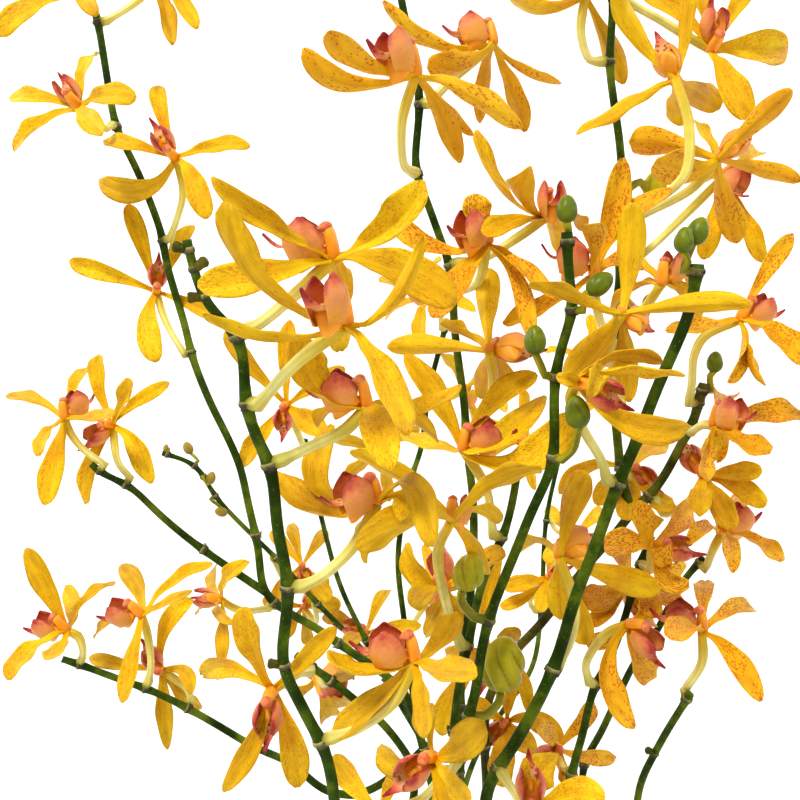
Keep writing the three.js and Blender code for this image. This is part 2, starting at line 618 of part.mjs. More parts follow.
// Flowers joined to the spray that bears them.
const JOINED_FLOWERS = [
  flower("flower_01", "left", [84, -45], [[72, -36]], [80, -6], 380, [-0.2, 0.6, 0.8],
    [[118, -22], [60, -70], [95, 14], [35, -30], [-2, 36]]),
  flower("flower_16", "back_inner", [305, 445], [[300, 438]], [287, 405], 398, [-0.1, 0, 1],
    [[290, 320], [225, 333], [345, 368], [240, 466], [325, 432]]),
  flower("flower_28", "right_tall", [613, 0], [[660, 20]], [710, 50], 332, [0.1, 0.2, 0.95],
    [[640, -12], [690, -30], [754, -24], [792, 50], [750, 118]]),
  flower("flower_63", "right_tall", [621, 266], [[648, 250], [690, 210]],
    [722, 178], 344, [0.3, 0.5, 0.8],
    [[691, 116], [763, 262], [702, 259], [762, 150, -15], [690, 190, -20]]),
  flower("flower_35", "right_tall", [620, 300], [[640, 310]], [662, 284], 312, [0, 0.95, 0.2],
    [[612, 262, -20], [640, 335, -20], [608, 312, -26], [692, 284, -12], [700, 322, -8]]),
  flower("flower_36", "right_back", [650, 497], [[663, 514], [690, 500]],
    [704, 477], 345, [-0.4, 0.3, 0.85],
    [[716, 441], [762, 472], [765, 507], [700, 512], [735, 528]]),
  flower("flower_37", "right_high", [700, 562], [[712, 552]], [721, 534], 338, [0.1, 0.9, 0.2],
    [[780, 562], [733, 572], [688, 543], [752, 498], [700, 498]]),
  flower("flower_38", "right_low", [640, 566], [[650, 568]], [652, 548], 316, [0.3, 0.4, 0.85],
    [[649, 507, -2], [668, 568, 14], [681, 577, 24], [690, 505], [602, 545, -16]]),
  flower("flower_58", "right_low", [632, 590], [[636, 580]], [630, 584], 350, [-0.1, 0.4, 0.9],
    [[612, 540], [586, 600], [592, 624], [656, 616], [655, 560, -10]]),
  flower("flower_40", "right_low", [594, 685], [[586, 664], [606, 634]],
    [628, 624], 314, [0.45, 0.2, 0.85],
    [[656, 618], [586, 645, -16], [640, 600, -14], [640, 727], [655, 676, -12]]),
  flower("flower_41", "right", [556, 668], [[572, 636], [575, 606]],
    [560, 558], 306, [0.1, 0.45, -0.88],
    [[585, 472], [516, 556], [661, 588, -6], [588, 644, -4], [562, 620, -10]]),
  flower("flower_42", "middle", [461, 760], [[444, 785]], [434, 758], 266, [-0.3, 0.4, 0.85],
    [[483, 722], [430, 700, -20], [472, 806], [375, 748], [470, 860]]),
  flower("flower_59", "middle", [462, 770], [[420, 800]], [380, 812], 300, [-0.2, 0.5, 0.8],
    [[334, 757], [405, 770, -20], [420, 850], [346, 850, -12], [384, 870]]),
  flower("flower_43", "right", [500, 770], [[520, 800]], [532, 812], 268, [-0.1, 0.5, 0.85],
    [[562, 753, -8], [603, 800], [480, 830], [555, 862], [505, 860]]),
  flower("flower_60", "right_back", [486, 745], [[492, 738]], [507, 722], 392, [-0.2, 0.3, 0.9],
    [[512, 676], [563, 741], [470, 700], [502, 786], [534, 752]]),
  flower("flower_61", "right_back", [500, 675], [[494, 664]], [490, 652], 352, [-0.1, 0.4, 0.9],
    [[520, 629], [529, 714], [500, 556], [445, 662, -16], [441, 736]]),
  flower("flower_62", "right_low", [571, 778], [[562, 768]], [556, 748], 356, [0.1, 0.3, 0.9],
    [[617, 757], [568, 796], [538, 722], [524, 786], [596, 700, -10]]),
  flower("flower_48", "middle_tall", [474, 560], [[462, 582]], [448, 588], 330, [-0.5, 0.5, 0.7],
    [[500, 560], [472, 640, -14], [424, 636, -10], [402, 545, 6], [418, 605]]),
  flower("flower_49", "right_tall", [620, 470], [[628, 480]], [632, 470], 372, [-0.1, 0.3, 0.9],
    [[668, 446], [672, 505], [558, 494], [596, 502], [625, 520]]),
  flower("flower_50", "front_low", [331, 680], [[324, 684]], [318, 674], 346, [0.2, -0.75, 0.5],
    [[300, 650, -10], [352, 665], [280, 680, -8], [333, 718], [347, 702]]),
  flower("flower_44", "back_left", [276, 558], [[286, 580]], [302, 566], 520, [0.1, 0.3, 0.9],
    [[290, 522], [271, 531], [327, 529], [272, 600], [330, 600]]),
  flower("flower_45", "back_left", [318, 604], [[316, 622]], [303, 606], 535, [0.1, 0.1, 0.95],
    [[280, 640], [262, 600], [310, 648], [327, 577], [340, 603]]),
  flower("flower_46", "back_inner", [366, 640], [[371, 655]], [366, 634], 505, [-0.1, 0.6, 0.7],
    [[420, 626], [389, 587], [380, 670], [322, 614], [346, 646]]),
  flower("flower_47", "back", [405, 627], [[418, 616]], [430, 598], 500, [0.3, 0.7, 0.4],
    [[400, 570], [425, 545], [440, 640], [470, 580], [480, 615]]),
  flower("flower_51", "back", [428, 395], [[445, 400]], [462, 392], 530, [0.5, 0.5, -0.7],
    [[440, 350], [420, 400], [480, 440], [500, 360], [510, 410]]),
  flower("flower_52", "back", [412, 475], [[400, 470]], [385, 455], 545, [-0.4, 0.6, -0.7],
    [[420, 430], [375, 405], [390, 500], [335, 440], [345, 480]]),
  flower("flower_53", "back", [446, 325], [[440, 310]], [430, 300], 480, [-0.5, 0.8, 0.1],
    [[475, 310], [440, 260], [420, 345], [380, 280], [385, 320]]),
  flower("flower_54", "back_right", [546, 521], [[556, 530]], [574, 538], 560, [-0.2, 0.4, 0.9],
    [[546, 508], [604, 508], [612, 548], [582, 572], [545, 562]]),
  flower("flower_55", "back_right", [560, 455], [[548, 450]], [530, 440], 600, [-0.5, 0.6, -0.6],
    [[570, 430], [525, 390], [535, 490], [480, 425], [488, 460]]),
  flower("flower_56", "back_right", [541, 611], [[530, 602]], [548, 578], 552, [-0.1, 0.4, 0.9],
    [[504, 588], [540, 612], [500, 606], [575, 606], [552, 548]]),
  flower("flower_57", "back_right", [572, 400], [[580, 385]], [588, 365], 560, [0.4, 0.85, 0.2],
    [[545, 350], [590, 315], [590, 410], [635, 345], [632, 380]]),
];

const bud = (on, node, via, at, near, length, point) => ({ on, node, via, at, near, length, point });
const BUDS = [
  bud("left", [79, -98], [], [77, -124], 384, 10, [-0.1, 1, 0]),
  bud("left", [79, -92], [[68, -96]], [62, -110], 388, 8, [-0.5, 1, 0]),
  bud("left", [80, -76], [[93, -80]], [98, -96], 378, 11, [0.4, 1, 0]),
  bud("middle_tall", [398, -76], [], [399, -104], 302, 9, [0.1, 1, 0]),
  bud("middle_tall", [397, -62], [[384, -68]], [378, -86], 304, 10, [-0.4, 1, 0]),
  bud("middle_tall", [396, -46], [[410, -52]], [418, -70], 298, 12, [0.4, 1, 0]),
  bud("right_tall", [612, -64], [], [610, -90], 322, 9, [0, 1, 0]),
  bud("right_tall", [613, -54], [[600, -58]], [592, -76], 326, 10, [-0.4, 1, 0]),
  bud("middle", [567, 234], [], [567, 209], 268, 8.5, [0, 1, 0]),
  bud("middle", [574, 310], [[584, 296]], [600, 284], 266, 9, [0.75, 0.6, 0]),
  bud("middle", [555, 378], [[541, 366]], [535, 340], 270, 9, [0, 1, 0.1]),
  bud("middle", [554, 455], [[573, 450], [578, 432]], [577, 412], 262, 10, [-0.2, 1, 0]),
  bud("middle", [489, 620], [[474, 617], [461, 600]], [469, 572], 286, 12.5, [0.35, 1, 0]),
  bud("middle", [467, 720], [[484, 716], [499, 702]], [503, 664], 304, 19, [0.1, 1, 0.1]),
  bud("right", [697, 266], [[688, 262]], [684, 240], 272, 8, [0.1, 1, 0.1]),
  bud("right", [697, 264], [], [698, 231], 275, 9, [0.4, 1, 0]),
  bud("right_back", [704, 384], [[710, 376]], [715, 362], 330, 8, [0.1, 1, 0]),
  bud("back_left", [215, 496], [[218, 505]], [221, 512], 478, 7, [-0.6, 0.2, 0.3]),
  bud("back_left", [203, 478], [[208, 484]], [211, 478], 476, 7, [0.3, 1, 0]),
  bud("back_left", [195, 465], [[194, 456]], [188, 448], 474, 7, [-0.5, 1, 0]),
  bud("back_left", [164, 453], [], [166, 448], 470, 4, [0.1, 1, 0]),
  bud("right_tall", [621, 190], [[640, 182]], [656, 184], 340, 12, [0.5, 1, 0]),
];

const model = new THREE.Group();
function addPiece(name, solid, [colour, roughness]) {
  const material = new THREE.MeshStandardMaterial({ color: colour, roughness, metalness: 0 });
  const mesh = new THREE.Mesh(geometryOf(solid), material);
  mesh.name = name;
  model.add(mesh);
}

addPiece("pot", pot(), COLOURS.clay);
addPiece("potting_mix", pottingMix(CANES.map((cane) => caneSolid(cane, SEAT_GAP))), COLOURS.bark);
CANES.forEach((cane, i) => {
  addPiece(`cane_${i + 1}`, caneSolid(cane, 0), COLOURS.cane);
  for (let leaf = 0; leaf < cane.leaves; leaf++) {
    addPiece(`leaf_${i + 1}_${leaf + 1}`, leafSolid(cane, leaf), COLOURS.leaf);
  }
});
for (const name of Object.keys(SPRAYS)) {
  const parts = Object.values(branches)
    .filter((branch) => branch.spray === name)
    .map((branch) => tube(branch.points, branch.radius, STALK_SIDES));
  for (const item of JOINED_FLOWERS.filter((item) => branches[item.on].spray === name)) {
    parts.push(flowerSolid(item, FAR), knob(item));
  }
  for (const item of BUDS.filter((item) => branches[item.on].spray === name)) parts.push(budSolid(item));
  addPiece(`spray_${name}`, joined(parts), COLOURS.stalk);
}
for (const item of FLOWERS) {
  addPiece(item.name, flowerSolid(item, NEAR), COLOURS.petal);
}

export default model;
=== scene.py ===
# A potted orchid in flower: clay pot, bark mix, three leafy canes and seven branched sprays.
import math
import random

import bpy
import numpy as np
from mathutils import Matrix, Vector, noise


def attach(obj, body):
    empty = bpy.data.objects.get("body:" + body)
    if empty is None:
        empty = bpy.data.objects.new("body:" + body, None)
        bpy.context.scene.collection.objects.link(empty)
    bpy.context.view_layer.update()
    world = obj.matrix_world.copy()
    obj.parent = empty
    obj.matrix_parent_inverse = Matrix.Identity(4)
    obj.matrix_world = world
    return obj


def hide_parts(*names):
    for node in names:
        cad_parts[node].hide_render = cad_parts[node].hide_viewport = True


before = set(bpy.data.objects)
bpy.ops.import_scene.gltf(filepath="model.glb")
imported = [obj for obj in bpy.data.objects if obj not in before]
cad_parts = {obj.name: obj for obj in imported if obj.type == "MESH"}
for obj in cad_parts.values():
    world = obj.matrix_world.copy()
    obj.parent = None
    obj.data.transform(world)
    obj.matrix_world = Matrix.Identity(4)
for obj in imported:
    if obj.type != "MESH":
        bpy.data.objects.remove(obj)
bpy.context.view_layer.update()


# Pot. Red clay, thrown on a wheel, fired and left unglazed, with a thick rim and four drain holes.
# Spun from one closed profile and drilled. Salts bloom pale towards the foot and the rim.
MM = 0.001


def put_down_all():
    if bpy.context.object and bpy.context.object.mode != "OBJECT":
        bpy.ops.object.mode_set(mode="OBJECT")
    bpy.ops.object.select_all(action="DESELECT")


def take_up(piece):
    put_down_all()
    piece.select_set(True)
    bpy.context.view_layer.objects.active = piece


def modify(piece, kind, **settings):
    """One modifier, set and applied."""
    take_up(piece)
    modifier = piece.modifiers.new(kind.lower(), kind)
    for key, value in settings.items():
        setattr(modifier, key, value)
    bpy.ops.object.modifier_apply(modifier=modifier.name)


def dye(red, green, blue):
    """A colour given as 0 to 255, as the shader wants it."""
    def linear(value):
        value /= 255
        return value / 12.92 if value <= 0.04045 else ((value + 0.055) / 1.055) ** 2.4
    return (linear(red), linear(green), linear(blue), 1)


def finish(name, roughness, coat=0.0, glow=0.0, gloss=0.5):
    """A new material, its nodes and its shader. glow is the light that passes into thin flesh."""
    material = bpy.data.materials.new(name)
    material.use_nodes = True
    shader = material.node_tree.nodes["Principled BSDF"]
    shader.inputs["Roughness"].default_value = roughness
    shader.inputs["Specular IOR Level"].default_value = gloss
    shader.inputs["Coat Weight"].default_value = coat
    shader.inputs["Coat Roughness"].default_value = 0.3
    if glow:
        shader.inputs["Subsurface Weight"].default_value = glow
        shader.inputs["Subsurface Radius"].default_value = (1.0, 0.7, 0.2)
        shader.inputs["Subsurface Scale"].default_value = 0.001
    return material, material.node_tree, shader


def wire(tree, socket, value):
    if isinstance(value, bpy.types.NodeSocket):
        tree.links.new(value, socket)
    else:
        socket.default_value = value


def node(tree, kind, settings=None, **inputs):
    """One node: its settings, then numbers, colours or links for its named inputs."""
    made = tree.nodes.new(kind)
    for key, value in (settings or {}).items():
        setattr(made, key, value)
    for key, value in inputs.items():
        wire(tree, made.inputs[key.replace("_", " ")], value)
    return made


def calc(tree, operation, *values):
    made = node(tree, "ShaderNodeMath", {"operation": operation})
    for socket, value in zip(made.inputs, values):
        wire(tree, socket, value)
    return made.outputs[0]


def between(tree, value, low, high):
    """0 below low, 1 above high, smooth between them."""
    return node(tree, "ShaderNodeMapRange", {"interpolation_type": "SMOOTHSTEP"}, Value=value, From_Min=low,
                From_Max=high).outputs["Result"]


def fading(tree, value, low, high):
    """1 below low, 0 above high, smooth between them."""
    return calc(tree, "SUBTRACT", 1, between(tree, value, low, high))


def times(tree, first, second):
    return calc(tree, "MULTIPLY", first, second)


def shades(tree, factor, *stops):
    """Colours along a factor from 0 to 1. Each stop is a place and a colour."""
    made = node(tree, "ShaderNodeValToRGB", Fac=factor)
    elements = made.color_ramp.elements
    while len(elements) < len(stops):
        elements.new(0.5)
    for element, (place, colour) in zip(elements, stops):
        element.position = place
        element.color = colour
    return made.outputs["Color"]


def mingle(tree, amount, first, second):
    made = node(tree, "ShaderNodeMix", {"data_type": "RGBA"})
    for index, value in ((0, amount), (6, first), (7, second)):
        wire(tree, made.inputs[index], value)
    return made.outputs[2]


def effect(name, inputs, output):
    """An empty effect to be placed in several materials, with its named inputs and its output."""
    group = bpy.data.node_groups.new(name, "ShaderNodeTree")
    for title, kind in inputs.items():
        group.interface.new_socket(title, in_out="INPUT", socket_type="NodeSocket" + kind)
    group.interface.new_socket(output, in_out="OUTPUT", socket_type="NodeSocketFloat")
    return group, group.nodes.new("NodeGroupInput").outputs, group.nodes.new("NodeGroupOutput").inputs[0]


def placed(tree, group, **inputs):
    return node(tree, "ShaderNodeGroup", {"node_tree": group}, **inputs).outputs[0]


MOTTLE, given, result = effect(
    "mottle", {"Place": "Vector", "Scale": "Float", "Low": "Float", "High": "Float"}, "Amount")
cloud = node(MOTTLE, "ShaderNodeTexNoise", Vector=given["Place"], Scale=given["Scale"], Detail=5,
             Roughness=0.6)
MOTTLE.links.new(between(MOTTLE, cloud.outputs["Fac"], given["Low"], given["High"]), result)


def mottle(tree, place, scale, low=0.35, high=0.65):
    return placed(tree, MOTTLE, Place=place, Scale=scale, Low=low, High=high)


def in_object(tree):
    return node(tree, "ShaderNodeTexCoord").outputs["Object"]


def stretched(tree, place, scale):
    return node(tree, "ShaderNodeMapping", Vector=place, Scale=scale).outputs["Vector"]


def paint(tree, shader, colour):
    tree.links.new(colour, shader.inputs["Base Color"])


def relief(tree, shader, height, strength, distance):
    bump = node(tree, "ShaderNodeBump", Height=height, Strength=strength, Distance=distance)
    tree.links.new(bump.outputs["Normal"], shader.inputs["Normal"])


def set_in(piece, node_names, slot, *finishes):
    for made in finishes:
        piece.data.materials.append(made)
    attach(piece, "root")
    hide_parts(*node_names)


def turned(name, profile, steps):
    """A profile of radii and heights in millimetres, spun round the pot's axis."""
    mesh = bpy.data.meshes.new(name)
    mesh.from_pydata([(radius * MM, 0, z * MM) for radius, z in profile],
                     [(i, i + 1) for i in range(len(profile) - 1)], [])
    piece = bpy.data.objects.new(name, mesh)
    bpy.context.collection.objects.link(piece)
    take_up(piece)
    bpy.ops.object.mode_set(mode="EDIT")
    bpy.ops.mesh.select_all(action="SELECT")
    bpy.ops.mesh.spin(steps=steps, angle=2 * math.pi, center=(0, 0, 0), axis=(0, 0, 1))
    bpy.ops.mesh.select_all(action="SELECT")
    bpy.ops.mesh.remove_doubles(threshold=0.00001)
    bpy.ops.mesh.normals_make_consistent(inside=False)
    bpy.ops.object.mode_set(mode="OBJECT")
    return piece


POT_PROFILE = [
    (0, 0), (30, 0), (60, 0), (79, 0), (81.4, 0.6), (82, 2), (88, 30), (95, 70), (104, 115), (112.6, 157),
    (112.9, 158.6), (114, 159), (117, 159), (118.4, 160), (119, 162), (121.5, 174), (123, 182),
    (122.8, 184), (121.6, 185), (119.5, 185.2), (117, 184.8), (115.8, 183.6), (114, 176), (110.5, 166),
    (104, 135), (95, 90), (83, 30), (79.6, 14), (77, 12.2), (73, 12), (40, 12), (0, 12),
]
pot = turned("pot_clay", POT_PROFILE, 96)
for turn in (45, 135, 225, 315):
    put_down_all()
    x, y = (45 * MM * way(math.radians(turn)) for way in (math.cos, math.sin))
    bpy.ops.mesh.primitive_cylinder_add(vertices=32, radius=7 * MM, depth=40 * MM, location=(x, y, 0))
    drill = bpy.context.object
    modify(pot, "BOOLEAN", object=drill, operation="DIFFERENCE")
    bpy.data.objects.remove(drill)
take_up(pot)
bpy.ops.object.shade_smooth_by_angle(angle=math.radians(50))

clay, tree, shader = finish("fired_clay", 0.85)
place = in_object(tree)
height = node(tree, "ShaderNodeSeparateXYZ", Vector=place).outputs["Z"]
cloudy = mottle(tree, place, 28, 0.3, 0.7)
body = shades(tree, cloudy, (0, dye(158, 88, 56)), (0.5, dye(183, 108, 72)), (1, dye(199, 128, 92)))
near_rim = between(tree, calc(tree, "MULTIPLY_ADD", cloudy, 0.03, height), 0.17, 0.21)
depth = times(tree, height, -1)
near_foot = between(tree, calc(tree, "MULTIPLY_ADD", cloudy, 0.03, depth), -0.03, 0.03)
salty = calc(tree, "MAXIMUM", near_rim, near_foot)
bloom = times(tree, salty, mottle(tree, place, 60, 0.42, 0.62))
colour = mingle(tree, times(tree, bloom, 0.7), body, dye(222, 206, 190))
paint(tree, shader, colour)
wheel_marks = node(tree, "ShaderNodeTexWave", {"bands_direction": "Z"}, Vector=place, Scale=60,
                   Distortion=2, Detail=2).outputs["Fac"]
relief(tree, shader, calc(tree, "MULTIPLY_ADD", wheel_marks, 0.6, mottle(tree, place, 900)), 0.35, 0.0006)
set_in(pot, ["pot"], "clay", clay)


# Potting mix. Broken fir bark and charcoal, heaped a little round the canes.
# A rough bed of fines, with loose chips of many shapes dropped on it.
def gathered(name, shapes):
    """One piece from shapes in millimetres: places, faces, finish number, flat map, growth marks."""
    places, faces, finishes, flat, growth = [], [], [], [], []
    count = 0
    for points, sides, number, uv, marks in shapes:
        points = np.asarray(points, dtype=float)
        places.append(points)
        faces += [[corner + count for corner in face] for face in sides]
        finishes += [number] * len(sides)
        flat.append(np.asarray(uv, dtype=float) * np.ones((len(points), 1)))
        growth.append(np.asarray(marks, dtype=float) * np.ones((len(points), 1)))
        count += len(points)
    mesh = bpy.data.meshes.new(name)
    mesh.from_pydata((np.concatenate(places) * MM).tolist(), [], faces)
    mesh.polygons.foreach_set("material_index", finishes)
    mesh.polygons.foreach_set("use_smooth", [True] * len(faces))
    corners = np.empty(len(mesh.loops), dtype=int)
    mesh.loops.foreach_get("vertex_index", corners)
    flat_map = mesh.uv_layers.new(name="flat")
    flat_map.data.foreach_set("uv", np.concatenate(flat)[corners].ravel())
    marks = mesh.attributes.new("growth", "FLOAT_VECTOR", "POINT")
    marks.data.foreach_set("vector", np.concatenate(growth).ravel())
    mesh.update()
    piece = bpy.data.objects.new(name, mesh)
    bpy.context.collection.objects.link(piece)
    return piece


def pattern_of(piece):
    """A finished pattern's points and faces. The pattern itself is taken away."""
    points = np.array([vertex.co for vertex in piece.data.vertices])
    faces = [list(polygon.vertices) for polygon in piece.data.polygons]
    bpy.data.objects.remove(piece)
    return points, faces


def moved(points, matrix):
    turned_by = np.array(matrix)
    return points @ turned_by[:3, :3].T + turned_by[:3, 3]


draw = random.Random(11)
CANE_FEET = [(-34, -12), (34, -18), (4, 38)]
MIX_TOP = 160
CHIP_DRAWS = 330
CHIP_REACH = 97
MIX_PROFILE = [
    (0, 12.7), (50, 12.7), (76, 12.7), (77.5, 14), (88, 70), (100, 130), (105.4, 158), (100, 159.5),
    (90, 160), (75, 161), (60, 162), (45, 163), (30, 163.6), (15, 164), (0, 164),
]
bed = turned("mix_bed", MIX_PROFILE, 72)
for vertex in bed.data.vertices:
    if vertex.co.z > (MIX_TOP - 1.5) * MM:
        vertex.co.z += 2.2 * MM * noise.noise(vertex.co * 90)
put_down_all()
bpy.ops.mesh.primitive_ico_sphere_add(subdivisions=2, radius=1)
chip_points, chip_faces = pattern_of(bpy.context.object)
chip_points = np.clip(chip_points, -0.72, 0.72)
chips = []
for _ in range(CHIP_DRAWS):
    turn, reach = draw.uniform(0, 6.283), CHIP_REACH * math.sqrt(draw.random())
    size = draw.uniform(5, 10.5)
    x, y = reach * math.cos(turn), reach * math.sin(turn)
    if any(math.hypot(x - cx, y - cy) < 9 + size * 0.7 for cx, cy in CANE_FEET):
        continue
    lift = MIX_TOP + 4 * (1 - reach / 100) + draw.uniform(-0.5, 3)
    home = (Matrix.Translation((x, y, lift)) @ Matrix.Rotation(draw.uniform(0, 6.28), 4, "Z")
            @ Matrix.Rotation(draw.uniform(-0.5, 0.5), 4, "X")
            @ Matrix.Diagonal((size, size * draw.uniform(0.5, 0.9), size * draw.uniform(0.25, 0.45), 1)))
    jag = Vector((draw.uniform(0, 50), 0, 0))
    rough = np.array([1 + 0.35 * noise.noise(Vector(point) * 1.6 + jag) for point in chip_points])
    chips.append((moved(chip_points * rough[:, None], home), chip_faces, 0, (0, 0), (draw.random(), 0, 0)))
bark_chips = gathered("bark_chips", chips)
bark_chips.data.polygons.foreach_set("use_smooth", [False] * len(bark_chips.data.polygons))


def growth(tree):
    """The marks laid on a piece as it was made: how far along, how far across, and its own tone."""
    marks = node(tree, "ShaderNodeAttribute", {"attribute_name": "growth"}).outputs["Vector"]
    return node(tree, "ShaderNodeSeparateXYZ", Vector=marks).outputs


bark, tree, shader = finish("bark_and_charcoal", 0.92)
place = in_object(tree)
fibres = mottle(tree, stretched(tree, place, (1, 1, 5)), 160, 0.3, 0.7)
chip_tone = calc(tree, "MULTIPLY_ADD", growth(tree)[0], 0.8, times(tree, fibres, 0.25))
colour = shades(tree, chip_tone, (0.1, dye(28, 26, 25)), (0.3, dye(48, 34, 26)), (0.55, dye(98, 64, 41)),
                (0.8, dye(132, 92, 60)), (1, dye(160, 120, 84)))
paint(tree, shader, colour)
relief(tree, shader, fibres, 0.8, 0.0012)
set_in(bed, ["potting_mix"], "bark", bark)
set_in(bark_chips, ["potting_mix"], "bark", bark)


# Canes. Three upright green stems, each wrapped in the papery sheaths of its leaves, and rooted in
# the mix. Each is one tube whose radius steps at every sheath, with grey aerial roots let down from it.
CANES = [
    {"foot": (-34, -12), "top": (-40, -16, 455), "rank": 104, "first_leaf": 205, "leaves": 6},
    {"foot": (34, -18), "top": (38, -20, 470), "rank": 238, "first_leaf": 204, "leaves": 5},
    {"foot": (4, 38), "top": (2, 48, 440), "rank": 172, "first_leaf": 228, "leaves": 5},
]
CANE_RADIUS = 8
CANE_SIDES = 24
CANE_START = 150
LEAF_SPACING = 44
FLAT_SIZE = 40


def smooth_line(points, step):
    """A smooth line through points, cut about a step long."""
    points = [Vector(point) for point in points]
    points = [2 * points[0] - points[1], *points, 2 * points[-1] - points[-2]]
    line = []
    for a, b, c, d in zip(points, points[1:], points[2:], points[3:]):
        before, here, after = ((q - p).length ** 0.5 for p, q in ((a, b), (b, c), (c, d)))
        leave = ((b - a) / before - (c - a) / (before + here) + (c - b) / here) * here
        arrive = ((c - b) / here - (d - b) / (here + after) + (d - c) / after) * here
        cuts = max(1, round((c - b).length / step))
        for i in range(cuts):
            t = i / cuts
            line.append(b + leave * t + (3 * (c - b) - 2 * leave - arrive) * t ** 2
                        + (2 * (b - c) + leave + arrive) * t ** 3)
    return [*line, points[-2]]


def tube(line, radii, sides, number, tone=0.0, ribs=0.0):
    """A closed tube along a line. Marks: share of its length, turn, tone."""
    line = [Vector(point) for point in line]
    ways = [(line[min(i + 1, len(line) - 1)] - line[max(i - 1, 0)]).normalized() for i in range(len(line))]
    side = ways[0].orthogonal().normalized()
    places, uv, marks = [], [], []
    gone = 0
    for i, (point, way) in enumerate(zip(line, ways)):
        side = (side - way * side.dot(way)).normalized()
        other = way.cross(side)
        gone += (point - line[i - 1]).length if i else 0
        for j in range(sides):
            turn = 2 * math.pi * j / sides
            reach = radii[i] * (1 + ribs * math.cos(6 * turn))
            places.append(point + (side * math.cos(turn) + other * math.sin(turn)) * reach)
            uv.append((j / sides, gone / FLAT_SIZE))
            marks.append((i / (len(line) - 1), j / sides, tone))
    faces = [[low + j, low + (j + 1) % sides, low + sides + (j + 1) % sides, low + sides + j]
             for low in range(0, (len(line) - 1) * sides, sides) for j in range(sides)]
    faces += [list(range(sides))[::-1], [len(places) - sides + j for j in range(sides)]]
    return places, faces, number, uv, marks


def cane_place(cane, height):
    foot, top = Vector((*cane["foot"], 100)), Vector(cane["top"])
    return foot + (top - foot) * (height - foot.z) / (top.z - foot.z)


cane_green, tree, shader = finish("cane_green", 0.5, coat=0.15)
place = in_object(tree)
sheath_end = growth(tree)[2]
streaks = mottle(tree, stretched(tree, place, (1, 1, 0.08)), 260)
green = shades(tree, streaks, (0, dye(74, 96, 38)), (0.5, dye(98, 122, 52)), (1, dye(128, 146, 74)))
straw = shades(tree, streaks, (0, dye(134, 112, 66)), (1, dye(186, 164, 112)))
height = node(tree, "ShaderNodeSeparateXYZ", Vector=place).outputs["Z"]
low_down = fading(tree, height, 0.17, 0.3)
old = times(tree, low_down, mottle(tree, place, 40, 0.3, 0.6))
dry = calc(tree, "MAXIMUM", old, between(tree, sheath_end, 0.8, 1))
paint(tree, shader, mingle(tree, dry, green, straw))
relief(tree, shader, streaks, 0.35, 0.0006)
root_grey, tree, shader = finish("root_grey", 0.8)
place = in_object(tree)
along, _, tone = growth(tree)
skin = shades(tree, mottle(tree, place, 220), (0, dye(150, 150, 138)), (1, dye(196, 196, 182)))
tip_green = times(tree, between(tree, along, 0.9, 0.98), tone)
paint(tree, shader, mingle(tree, tip_green, skin, dye(120, 140, 60)))
relief(tree, shader, mottle(tree, place, 700), 0.4, 0.0005)

for number, cane in enumerate(CANES, 1):
    heights = [CANE_START + 2 * i for i in range(int((cane["top"][2] - CANE_START) / 2) + 1)]
    radii, ends = [], []
    for height in heights:
        inside = ((height - cane["first_leaf"]) / LEAF_SPACING) % 1
        left = cane["top"][2] - height
        radii.append(min(7.0 + 1.2 * inside ** 0.7, 8.1) * min(1, math.sqrt(max(left, 0.4) / 9)))
        ends.append(inside)
    *shape, marks = tube([cane_place(cane, height) for height in heights], radii, CANE_SIDES, 0)
    marks = [(share, turn, ends[i // CANE_SIDES]) for i, (share, turn, _) in enumerate(marks)]
    stem = gathered(f"cane_{number}_stem", [(*shape, marks)])
    set_in(stem, [f"cane_{number}"], "cane", cane_green)
    roots = []
    for i in range(4):
        turn = math.radians(cane["rank"] + 70 + 80 * i + draw.uniform(-15, 15))
        out = Vector((math.cos(turn), math.sin(turn), 0))
        start = cane_place(cane, draw.uniform(178, 205))
        reach = draw.uniform(13, 24)
        line = smooth_line([start + out * 5, start + out * 10 + Vector((0, 0, -1)),
                            start + out * (reach * 0.8) + Vector((0, 0, -12)),
                            (start + out * reach) * Vector((1, 1, 0)) + Vector((0, 0, 158))], 2)
        radii = [2.1 - 0.5 * k / len(line) + 0.12 * math.sin(k * 1.3 + i) for k in range(len(line))]
        roots.append(tube(line, radii, 12, 0))
    set_in(gathered(f"cane_{number}_roots", roots), [f"cane_{number}"], "cane", root_grey)


# Leaves. Leathery green straps in two ranks, folded along the keel, with the foot wrapped round the cane.
# One flat strap is cut and given its thickness, and each leaf is that strap laid along its own arch.
LEAF_LENGTH = 195
LEAF_HALF = 16.5
put_down_all()
bpy.ops.mesh.primitive_grid_add(x_subdivisions=12, y_subdivisions=40, size=2)
strap = bpy.context.object
modify(strap, "SOLIDIFY", thickness=0.1, offset=0)
strap_points, strap_faces = pattern_of(strap)


def bezier(a, b, c, d, t):
    place = a * (1 - t) ** 3 + b * 3 * t * (1 - t) ** 2 + c * 3 * t ** 2 * (1 - t) + d * t ** 3
    way = (b - a) * (1 - t) ** 2 + (c - b) * 2 * t * (1 - t) + (d - c) * t ** 2
    return place, way.normalized()


